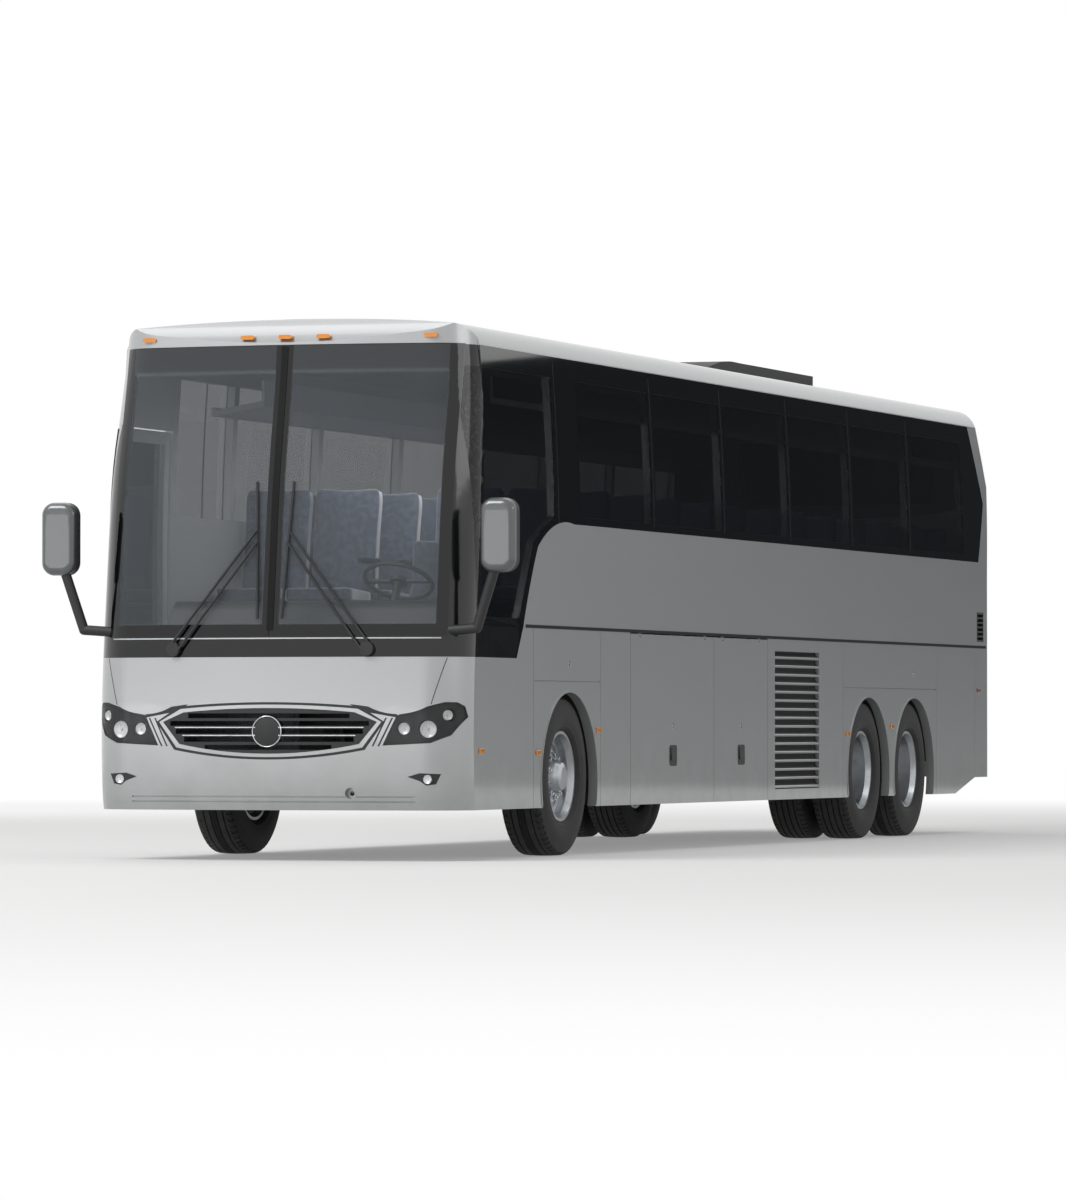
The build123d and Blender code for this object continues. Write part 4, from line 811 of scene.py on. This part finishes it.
class Skin:
    """Solid nodes that rays are cast at."""

    def __init__(self, *names):
        self.trees = []
        for name in names:
            mesh = frame["nodes"][name].data
            mesh.calc_loop_triangles()
            corners_of = [list(triangle.vertices) for triangle in mesh.loop_triangles]
            self.trees.append(BVHTree.FromPolygons([vert.co for vert in mesh.vertices], corners_of))

    def touch(self, start, direction):
        """The nearest hit of a ray and the direction out of the skin there, or None."""
        hits = [tree.ray_cast(start, direction) for tree in self.trees]
        hits = [hit for hit in hits if hit[0] is not None]
        if not hits:
            return None
        point, normal, _, _ = min(hits, key=lambda hit: hit[3])
        return point, normal if normal.dot(direction) < 0 else -normal

    def from_front(self, x, z):
        return self.touch(Vector((x, cad_low.y - RAY_START, z)), BACKWARDS)

    def from_rear(self, x, z):
        return self.touch(Vector((x, cad_high.y + RAY_START, z)), -BACKWARDS)

    def from_side(self, sign, y, z):
        return self.touch(Vector((sign * (cad_high.x + RAY_START), y, z)), Vector((-sign, 0, 0)))


def sweep(bm, path, width, proud=0.003, sunk=0.002, closed=False):
    """A flat strip along a path of (point, outward), standing proud of the skin and sunk into it."""
    rings = []
    for i, (point, outward) in enumerate(path):
        after = path[(i + 1) % len(path)][0] if closed or i + 1 < len(path) else point
        before = path[i - 1][0] if closed or i else point
        side = (after - before).cross(outward).normalized() * width / 2
        section = (point + side - outward * sunk, point + side + outward * proud,
                   point - side + outward * proud, point - side - outward * sunk)
        rings.append([bm.verts.new(corner) for corner in section])
    pairs = list(zip(rings, rings[1:] + rings[:1]))[:None if closed else -1]
    for ring, after in pairs:
        for i in range(4):
            bm.faces.new((ring[i], ring[(i + 1) % 4], after[(i + 1) % 4], after[i]))
    if not closed:
        bm.faces.new(rings[0])
        bm.faces.new(rings[-1])


def between(start, end, steps):
    """Evenly spaced pairs of numbers from a start to an end, with both."""
    return [(start[0] + (end[0] - start[0]) * i / steps, start[1] + (end[1] - start[1]) * i / steps)
            for i in range(steps + 1)]


nose_skin = Skin("front_bumper", "front_panel", "front_mask", "grille", "head_lamps", "windscreen",
                 "roof_shell")


def nose_line(start, end, steps):
    """Hits on the nose behind a line between two places of (distance to the left, height)."""
    return [hit for hit in (nose_skin.from_front(x, z) for x, z in between(start, end, steps)) if hit]


# %% [markdown]
# ## Trim on the nose
# Bright strips run along the grille's two middle bars and end at a plain boss with a bright rim. One thin
# line marks the windscreen's foot, and black rubber covers the joint between the two panes.

# %% Nose trim
# Bright strips: height, half-length and width; the first two lie on the grille, the last under the windscreen
BRIGHT_STRIPS = [(0.816, 0.60, 0.006), (0.868, 0.655, 0.006), (1.447, 1.14, 0.008)]
BRIGHT_STEPS = 40
BOSS_Z = 0.842
BOSS_STEPS = 48
# The boss's bright rim and its face: radius and height
BOSS_RIM = [(0.094, 0.0), (0.0955, 0.006), (0.099, 0.008), (0.1025, 0.006), (0.104, 0.0)]
BOSS_FACE = [(0.094, 0.001), (0.070, 0.006), (0.040, 0.009), (0.0005, 0.010)]
# The front panel's slanting side: distance from the middle and height, at its top and its foot
PANEL_SEAM = ((1.178, 1.320), (1.092, 1.018))
SEAM_STRIP = (0.005, 0.0006)
SEAM_STEPS = 11
# The rubber over the panes' joint: foot and top, strip, and how far beside the gap its rays go
PARTING_Z = (1.50, 3.36)
PARTING_STRIP = (0.046, 0.004)
PARTING_STEPS = 29
BESIDE_GAP = 0.012

trim_bm = bmesh.new()
for z, half, width in BRIGHT_STRIPS:
    sweep(trim_bm, nose_line((-half, z), (half, z), BRIGHT_STEPS), width)
settle("nose_trim", trim_bm, "root", "polished_rim")

boss_point, _ = nose_skin.from_front(0.0, BOSS_Z)
boss_place = facing(boss_point, -BACKWARDS)
for name, curve, slot in (("boss_rim", BOSS_RIM, "chrome"), ("boss_face", BOSS_FACE, "black_plastic")):
    boss_bm = bmesh.new()
    spin_round(boss_bm, boss_place, curve, BOSS_STEPS)
    settle(name, boss_bm, "root", slot, angle=CURVE_ANGLE)

seam_bm = bmesh.new()
for sign in (-1, 1):
    top, foot = ((sign * x, z) for x, z in PANEL_SEAM)
    sweep(seam_bm, nose_line(top, foot, SEAM_STEPS), *SEAM_STRIP)
settle("panel_seams", seam_bm, "root", "seal_rubber")

parting_bm = bmesh.new()
parting = [(Vector((0, point.y, point.z)), Vector((0, outward.y, outward.z)).normalized())
           for point, outward in nose_line(*[(BESIDE_GAP, z) for z in PARTING_Z], PARTING_STEPS)]
sweep(parting_bm, parting, *PARTING_STRIP)
settle("screen_parting", parting_bm, "root", "seal_rubber")

# %% [markdown]
# ## Lamps
# Behind each clear cover sit three round reflectors: bowls of bright metal with a bulb in the middle. A
# bowl is a short curve spun about its axis. The cover curves back, so the outer bowls sit deeper and turn
# half way with it.

# %% Bowls and bulbs
# Bowls behind the head lamps' covers: distance from the middle, height, radius, distance behind the cover
BOWLS = [(0.915, 0.860, 0.038, 0.014), (1.067, 0.856, 0.055, 0.014), (1.178, 0.947, 0.033, 0.010)]
FOG_LAMP = (1.070, 0.532, 0.029, 0.004)
BOWL_STEPS = 28
# The bowl's curve, from its rim to its middle: shares of its radius outwards and backwards
BOWL_CURVE = [(1.0, 0.0), (1.0, 0.06), (0.93, 0.06), (0.82, 0.22), (0.60, 0.40), (0.32, 0.50), (0.14, 0.52)]
BOWL_DEPTH = 0.02
# A bulb: sides, shares of the bowl's radius at its foot and tip, height, and how far back it starts
BULB = (16, 0.22, 0.12, 0.008)
BULB_BACK = 0.011

bowl_bm, bulb_bm = bmesh.new(), bmesh.new()
for x, z, radius, behind in BOWLS + [FOG_LAMP]:
    for sign in (-1, 1):
        point, outward = nose_skin.from_front(sign * x, z)
        turned = (outward.normalized() - BACKWARDS).normalized()
        # Added for each side in turn, so the left bowls sit up to 11 mm deeper than the right ones
        behind += radius * abs(turned.x / turned.y)
        place = facing(point + BACKWARDS * behind, turned)
        curve = [(share * radius, -BOWL_DEPTH * depth) for share, depth in BOWL_CURVE]
        spin_round(bowl_bm, place, curve, BOWL_STEPS)
        sides, wide, narrow, height = BULB
        place = place @ Matrix.Translation((0, 0, -BULB_BACK))
        stack_discs(bulb_bm, place, [(sides, radius * wide, radius * narrow, height)])
settle("lamp_bowls", bowl_bm, "root", "reflector").data.shade_smooth()
settle("lamp_bulbs", bulb_bm, "root", "blank_plate")

# %% [markdown]
# ## Seals, lips and side lamps
# A black rubber strip hides the joint at the belt. Each wheel arch has a rolled lip. Small amber lamps mark
# the sides, with a red one near the rear.

# %% Belt strip and arch lips
BELT_Z = 1.541
BELT_HEIGHT = 0.022
# Stretches of the belt strip: side, and the stations of its ends
BELT_RUNS = [(1, -5.44, 6.62), (-1, -5.45, 6.62)]
BELT_STEPS = 60
ARCH_CENTRE_Z = 0.505
ARCH_RADIUS = 0.607
SKIRT_Z = 0.335
LIP_STEPS = 40
LIP_STRIP = (0.014, 0.005)

side_skin = {sign: Skin(f"side_wall_{side}", f"lower_panels_{side}", "front_bumper", "rear_bumper",
                        "rear_wall")
             for sign, side in ((1, "left"), (-1, "right"))}
body_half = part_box("lower_panels_left")[1].x
rim_boxes = [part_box(f"rim_{axle}_left") for axle in ("front", "drive", "tag")]
axle_ys = [(low.y + high.y) / 2 for low, high in rim_boxes]

belt_bm = bmesh.new()
for sign, start_y, end_y in BELT_RUNS:
    stations = between((start_y, BELT_Z), (end_y, BELT_Z), BELT_STEPS)
    sweep(belt_bm, [side_skin[sign].from_side(sign, y, z) for y, z in stations], BELT_HEIGHT)
settle("belt_strip", belt_bm, "root", "seal_rubber")

lip_bm = bmesh.new()
half_span = pi / 2 + atan2(ARCH_CENTRE_Z - SKIRT_Z, ARCH_RADIUS)
for axle_y in axle_ys:
    for sign in (-1, 1):
        lip = []
        for i in range(LIP_STEPS + 1):
            turn = half_span * (2 * i / LIP_STEPS - 1)
            y, z = axle_y + ARCH_RADIUS * sin(turn), ARCH_CENTRE_Z + ARCH_RADIUS * cos(turn)
            lip.append((Vector((sign * body_half, y, z)), Vector((sign, 0, 0))))
        sweep(lip_bm, lip, *LIP_STRIP)
settle("arch_lips", lip_bm, "root", "silver_paint")

# %% Side lamps
SIDE_LAMP = (0.085, 0.034, 0.012)
# Side lamps of each finish: station and height
SIDE_LAMPS = {"amber_lamp": [(-6.36, 0.715), (-5.19, 0.70), (-3.885, 0.85), (2.38, 0.82), (3.665, 0.88)],
              "red_lamp": [(6.37, 1.18)]}

for finish, stations in SIDE_LAMPS.items():
    lamp_bm = bmesh.new()
    for y, z in stations:
        for sign in (-1, 1):
            hit = side_skin[sign].from_side(sign, y, z)
            if hit:
                soft_block(lamp_bm, facing(*hit), SIDE_LAMP)
    settle("side_lamps_" + finish.split("_")[0], lamp_bm, "root", finish)

# %% [markdown]
# ## Handles and locks
# Each luggage door and the entrance door has a pull handle: a black plate over a shallow pocket, with a
# paddle that one pulls from below. Round locks, turned with a three-sided key, hold the luggage doors and
# the flaps over the wheels. What sits on a door rides that door.

# %% Handles and locks
HANDLE_Z = 0.670
DOOR_HANDLE = (0.170, 0.148)
LOCK_Z = 0.880
FLAP_LOCK_Z = 1.300
LOCK_DEPTH = 0.014
# Barrel, collar and three-sided pin: sides, radius at foot and tip, height
KEY_LOCK = [(28, 0.0205, 0.0205, 0.010), (28, 0.0150, 0.0135, 0.002), (3, 0.0065, 0.0065, 0.002)]
# The entrance door's handle: width and height, then its distance from the door's rear edge and its height
ENTRANCE_HANDLE = (0.064, 0.150)
ENTRANCE_HANDLE_AT = (0.0425, 1.120)
# A latch of the engine door is a plate on a plate: width, height, corner radius and thickness of each
LATCH_XS = (-0.45, 0.45)
LATCH_Z = 0.862
LATCH_PLATES = [(0.120, 0.052, 0.012, 0.003), (0.086, 0.034, 0.010, 0.004)]
# A pull handle's flange, paddle and rib: corner radius and thickness
FLANGE, PADDLE, RIB = (0.022, 0.0025), (0.014, 0.006), (0.003, 0.002)
RIB_HEIGHT = 0.008
# Shares of the flange's width and height: the paddle's size, then the rib's width and how far up it sits
PADDLE_SHARES = (0.74, 0.62)
RIB_SHARES = (0.62, 0.22)
PADDLE_ON = Matrix.Translation((0, 0.012, FLANGE[1])) @ Matrix.Rotation(radians(-4), 4, "X")


def on_side(sign, y, z, sunk=0.0):
    """A place on the flat of a side, or sunk into it, whose Z looks outwards."""
    return facing(Vector((sign * (body_half - sunk), y, z)), Vector((sign, 0, 0)))


def pull_handle(bm, place, width, height):
    """A flanged plate over the pocket, with a paddle that is hinged at its top and free at its foot."""
    rounded_plate(bm, place, width, height, *FLANGE)
    paddle = place @ PADDLE_ON
    rounded_plate(bm, paddle, width * PADDLE_SHARES[0], height * PADDLE_SHARES[1], *PADDLE)
    rib = paddle @ Matrix.Translation((0, height * RIB_SHARES[1], PADDLE[1]))
    rounded_plate(bm, rib, width * RIB_SHARES[0], RIB_HEIGHT, *RIB)


for body in [name for name in frame["nodes"] if name.startswith("luggage_door")]:
    low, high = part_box(body)
    sign = 1 if low.x > 0 else -1
    middle_y = (low.y + high.y) / 2
    handle_bm, lock_bm = bmesh.new(), bmesh.new()
    pull_handle(handle_bm, on_side(sign, middle_y, HANDLE_Z), *DOOR_HANDLE)
    stack_discs(lock_bm, on_side(sign, middle_y, LOCK_Z, LOCK_DEPTH), KEY_LOCK)
    settle(body.replace("door", "handle"), handle_bm, body, "black_plastic")
    settle(body.replace("door", "lock"), lock_bm, body, "chrome", angle=LOCK_ANGLE)

flap_bm = bmesh.new()
for axle_y in axle_ys:
    for sign in (-1, 1):
        stack_discs(flap_bm, on_side(sign, axle_y, FLAP_LOCK_Z, LOCK_DEPTH), KEY_LOCK)
settle("flap_locks", flap_bm, "root", "chrome", angle=LOCK_ANGLE)

door_low, door_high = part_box("entrance_door")
entrance_bm = bmesh.new()
from_edge, entrance_z = ENTRANCE_HANDLE_AT
pull_handle(entrance_bm, on_side(-1, door_high.y - from_edge, entrance_z), *ENTRANCE_HANDLE)
settle("entrance_handle", entrance_bm, "entrance_door", "black_plastic")

engine_skin = Skin("engine_door")
latch_bm = bmesh.new()
for x in LATCH_XS:
    point, outward = engine_skin.from_rear(x, LATCH_Z)
    for width, height, radius, thickness in LATCH_PLATES:
        rounded_plate(latch_bm, facing(point, outward), width, height, radius, thickness)
        point = point + outward * thickness
settle("engine_latches", latch_bm, "engine_door", "black_plastic")

# %% [markdown]
# ## Louvres
# The slats on the left side let air to the heating unit. Deep between them is shade, and it is painted: a
# black plate closes the back, and a black strip covers the inner part of each slat, so that only the slats'
# edges show silver.

# %% Painted shade behind the louvres
LOUVRE_Y = (0.400, 1.590)
LOUVRE_Z = (0.410, 1.440)
LOUVRE_COUNT = 16
LOUVRE_DEPTH = 0.030
# A slat's upper slope in its own pitch: its outer and inner ends, inwards from the skin and upwards
SLOPE = ((0.002, 0.020), (0.031, 0.050))
SHADED_FROM = 0.22
# The black plates of painted shade: thickness, corner radius, and how much shorter than the opening
SHADE_THICKNESS = 0.001
SHADE_CORNER = 0.001
SHADE_CLEARANCE = 0.004

# Painted shade: black sheets put where the deep slots between the slats are only in shade
shade_bm = bmesh.new()
brick(shade_bm, (body_half - LOUVRE_DEPTH, LOUVRE_Y[0], LOUVRE_Z[0]),
      (body_half - LOUVRE_DEPTH + SHADE_THICKNESS, LOUVRE_Y[1], LOUVRE_Z[1]))
(outer_in, outer_up), (inner_in, inner_up) = SLOPE
run_in, run_up = inner_in - outer_in, inner_up - outer_up
length = hypot(run_in, run_up) * (1 - SHADED_FROM)
share = (1 + SHADED_FROM) / 2
for i in range(LOUVRE_COUNT):
    z = LOUVRE_Z[0] + (LOUVRE_Z[1] - LOUVRE_Z[0]) * i / LOUVRE_COUNT
    point = Vector((body_half - outer_in - share * run_in, sum(LOUVRE_Y) / 2, z + outer_up + share * run_up))
    place = facing(point, Vector((run_up, 0, run_in)).normalized())
    rounded_plate(shade_bm, place, LOUVRE_Y[1] - LOUVRE_Y[0] - SHADE_CLEARANCE, length, SHADE_CORNER,
                  SHADE_THICKNESS, steps=2)
settle("louvre_painted_shade", shade_bm, "root", "seal_rubber")

# %% [markdown]
# ## Seals
# The panes are glued in with a black joint between each two, and the entrance door has a rubber seal round
# it. Without these strips the silver wall would show in the gaps.

# %% Joints between the panes, and the door's seal
FIRST_JOINT = -4.730
# The rays for a joint go beside it, because there is a gap between the panes
JOINT_OFFSET = 0.012
JOINT_STEPS = 60
# Strips: width, how proud and how sunk
JOINT_STRIP = (0.009, 0.0004, 0.006)
DOOR_SEAL = 0.018
# On the hinge side the seal lies further in, clear of the bumper when the door is open
HINGE_SEAL = 0.050
SEAL_STRIP = (0.020, 0.003, 0.002)
# Steps up, back, down and forward again round the door
SEAL_STEPS = (20, 10, 20, 10)

joint_bm = bmesh.new()
glass_skin = Skin("side_glass")
joint_low, joint_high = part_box("side_glass")
for y in [FIRST_JOINT] + POST_YS[1:-1]:
    for sign in (-1, 1):
        column = between((y + JOINT_OFFSET, joint_low.z), (y + JOINT_OFFSET, joint_high.z), JOINT_STEPS)
        hits = filter(None, [glass_skin.from_side(sign, ray_y, z) for ray_y, z in column])
        outward = Vector((sign, 0, 0))
        sweep(joint_bm, [(Vector((point.x, y, point.z)), outward) for point, _ in hits], *JOINT_STRIP)
settle("pane_joints", joint_bm, "root", "seal_rubber")

seal_bm = bmesh.new()
door_skin = Skin("entrance_door", "entrance_door_glass")
hinge_y, rear_y = door_low.y + HINGE_SEAL, door_high.y - DOOR_SEAL
foot_z, top_z = door_low.z + DOOR_SEAL, door_high.z - DOOR_SEAL
turns = [(hinge_y, foot_z), (hinge_y, top_z), (rear_y, top_z), (rear_y, foot_z)]
loop = []
for start, end, steps in zip(turns, turns[1:] + turns[:1], SEAL_STEPS):
    loop += between(start, end, steps)[:-1]
hits = filter(None, [door_skin.from_side(-1, y, z) for y, z in loop])
sweep(seal_bm, [(point, Vector((-1, 0, 0))) for point, _ in hits], *SEAL_STRIP, closed=True)
settle("door_seal", seal_bm, "entrance_door", "seal_rubber")

# %% [markdown]
# ## Mirrors
# Each mirror head has a painted cover in front and the glass behind, set in a dark rim. The cover is a thin
# copy of the head's own front faces, pushed out by a millimetre, so it fits however the head is shaped.

# %% Mirror covers and glass
HEAD_FOOT_Z = 1.868
COVER_LIFT = 0.001
COVER_REAR_Y = -6.635
MERGE_DISTANCE = 0.0002
# The mirror glass: width, height and corner radius, the head's half width and height, and the glass's station
GLASS_SIZE = (0.196, 0.436, 0.062)
HEAD_HALF = (0.120, 0.240)
GLASS_Y = -6.606
GLASS_THICKNESS = 0.003

cover_bm = bmesh.new()
cover_bm.from_mesh(frame["nodes"]["mirrors"].data)
outside = [face for face in cover_bm.faces if min(vert.co.z for vert in face.verts) < HEAD_FOOT_Z
           or max(vert.co.y for vert in face.verts) > COVER_REAR_Y]
bmesh.ops.delete(cover_bm, geom=outside, context="FACES")
bmesh.ops.remove_doubles(cover_bm, verts=cover_bm.verts, dist=MERGE_DISTANCE)
cover_bm.normal_update()
for vert in cover_bm.verts:
    vert.co += vert.normal * COVER_LIFT
settle("mirror_covers", cover_bm, "root", "mirror_shell", angle=LOCK_ANGLE)

glass_bm = bmesh.new()
_, mirror_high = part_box("mirrors")
for sign in (-1, 1):
    centre = Vector((sign * (mirror_high.x - HEAD_HALF[0]), GLASS_Y, mirror_high.z - HEAD_HALF[1]))
    rounded_plate(glass_bm, facing(centre, BACKWARDS), *GLASS_SIZE, GLASS_THICKNESS, steps=12)
settle("mirror_glasses", glass_bm, "root", "mirror_glass")

# %% [markdown]
# ## Tail lamps and plate
# Three round lamps stand over each other at each rear corner: red for tail and brake, amber for turning,
# and a second red one. Their lenses are shallow domes in bright rings. Between the corners hangs a blank
# plate.

# %% Tail lamps
TAIL_X = 1.010
# Heights of the tail lamps of each finish
TAIL_LAMPS = {"red_lamp": [1.300, 0.980], "amber_lamp": [1.140]}
LENS_CURVE = [(0.0585, -0.010), (0.0585, 0.002), (0.052, 0.008), (0.040, 0.011), (0.022, 0.0128),
              (0.0005, 0.0132)]
RING_CURVE = [(0.0585, 0.0), (0.0595, 0.005), (0.0625, 0.0065), (0.0665, 0.005), (0.0685, 0.0)]

tail_skin = Skin("tail_lamps")
ring_bm = bmesh.new()
for finish, heights in TAIL_LAMPS.items():
    lens_bm = bmesh.new()
    for z in heights:
        for sign in (-1, 1):
            place = facing(*tail_skin.from_rear(sign * TAIL_X, z))
            spin_round(lens_bm, place, LENS_CURVE)
            spin_round(ring_bm, place, RING_CURVE)
    settle("tail_lens_" + finish.split("_")[0], lens_bm, "root", finish, angle=CURVE_ANGLE)
settle("tail_rings", ring_bm, "root", "chrome", angle=CURVE_ANGLE)

# %% The rear plate
# Width, height and corner radius
PLATE_SIZE = (0.305, 0.152, 0.014)
PLATE_THICKNESS = 0.002
PLATE_SUNK = 0.001
PLATE_Z = 0.620
PLATE_HOLES = (0.178, 0.120)
PLATE_BOLT = [(6, 0.006, 0.006, 0.003)]

plate_bm, bolt_bm = bmesh.new(), bmesh.new()
plate_place = facing(Vector((0, cad_high.y - PLATE_SUNK, PLATE_Z)), BACKWARDS)
rounded_plate(plate_bm, plate_place, *PLATE_SIZE, PLATE_THICKNESS)
for x in (-0.5, 0.5):
    for z in (-0.5, 0.5):
        hole = Matrix.Translation((x * PLATE_HOLES[0], z * PLATE_HOLES[1], PLATE_THICKNESS))
        stack_discs(bolt_bm, plate_place @ hole, PLATE_BOLT)
settle("rear_plate", plate_bm, "root", "blank_plate")
settle("plate_bolts", bolt_bm, "root", "chrome")

# %% [markdown]
# ## The studio
# A pale floor, a white surround and a few very large soft boxes. The key light stands ahead of the coach,
# on the side that the photographer isn't on, because in the photograph the front is bright and the long
# side is in half shade. A low wide box brightens the nose, and a strip of light fills the cabin. The
# surround is white for the camera and in reflections, but dimmer as a source of light.

# %% Floor, surround and lamps
FLOOR_HALF = 150.0
# A dark board that only reflections see, for the long side: width and height, and place
BOARD_SIZE = (26.0, 9.0)
BOARD_PLACE = (16.0, 47.0, 4.5)
# The floor's own glow near the coach
FLOOR_GLOW = 0.25
# Distances from the coach between which the floor fades to white
FLOOR_FADE = (11.0, 34.0)
SURROUND_LIGHT = 0.32


def sheet(name, place, size, finish):
    """A flat square of the studio, put at its place by a matrix."""
    sheet_bm = bmesh.new()
    bmesh.ops.create_grid(sheet_bm, x_segments=1, y_segments=1, size=size, matrix=place)
    made = make_object(name, sheet_bm, finish)
    return made


floor_finish = Finish("studio_floor", "#E2E2E1", 0.8)
away = floor_finish.node("ShaderNodeVectorMath", {"operation": "LENGTH"}, {0: floor_finish.place()},
                         output="Value")
glow = floor_finish.node("ShaderNodeEmission", values={"Color": linear("#FFFFFF"), "Strength": 1.0})
floor_finish.cover(FLOOR_GLOW + away.above(*FLOOR_FADE) * (1 - FLOOR_GLOW), glow)
sheet("studio_floor", Matrix.Identity(4), FLOOR_HALF, floor_finish)

upright = Matrix.Translation(BOARD_PLACE) @ Matrix.Rotation(pi / 2, 4, "X")
upright = upright @ Matrix.Diagonal((*BOARD_SIZE, 1.0, 1.0))
board = sheet("dark_board", upright, 0.5, Finish("board_felt", "#33383C", 1.0))
board.visible_camera = board.visible_shadow = board.visible_diffuse = False

world = bpy.data.worlds.new("surround")
bpy.context.scene.world = world
world.use_nodes = True
surround = Network(world.node_tree)
to_camera, to_gloss, through = (surround.node("ShaderNodeLightPath", output=f"Is {kind} Ray")
                                for kind in ("Camera", "Glossy", "Transmission"))
seen = to_camera.maths("MAXIMUM", to_camera.maths("MAXIMUM", to_camera, to_gloss), through)
background = world.node_tree.nodes["Background"]
surround.join(background.inputs["Color"], (1.0, 1.0, 1.0, 1.0))
surround.join(background.inputs["Strength"], SURROUND_LIGHT + seen * (1 - SURROUND_LIGHT))

# Soft boxes: name, place, the point that it lights, size, power
SOFT_BOXES = [
    ("front", (-9.0, -34.0, 1.9), (0.0, -6.8, 1.1), (36.0, 3.2), 900.0),
    ("key", (-11.0, -22.0, 20.0), (0.0, -6.0, 1.6), (16.0, 12.0), 4600.0),
    ("side", (24.0, -8.0, 10.0), (1.0, 0.0, 1.6), (14.0, 5.0), 500.0),
    ("top", (0.0, 0.0, 15.0), (0.0, 0.0, 3.0), (16.0, 6.0), 450.0),
    ("back", (-14.0, 20.0, 11.0), (0.0, 4.0, 1.6), (12.0, 7.0), 1200.0),
    ("cabin", (0.0, -1.0, 3.04), (0.0, -1.0, 1.0), (0.5, 10.0), 160.0),
]
for name, place, target, size, power in SOFT_BOXES:
    lamp_data = bpy.data.lights.new(name, "AREA")
    lamp_data.shape = "RECTANGLE"
    lamp_data.size, lamp_data.size_y = size
    lamp_data.energy = power
    lamp = bpy.data.objects.new(name, lamp_data)
    lamp.location = place
    lamp.rotation_euler = (Vector(target) - Vector(place)).to_track_quat("-Z", "Y").to_euler()
    lamp.visible_camera = False
    lamp.visible_glossy = name not in ("cabin", "back")
    bpy.context.scene.collection.objects.link(lamp)
bpy.context.scene.view_settings.view_transform = "Standard"
print("soft boxes", len(SOFT_BOXES))
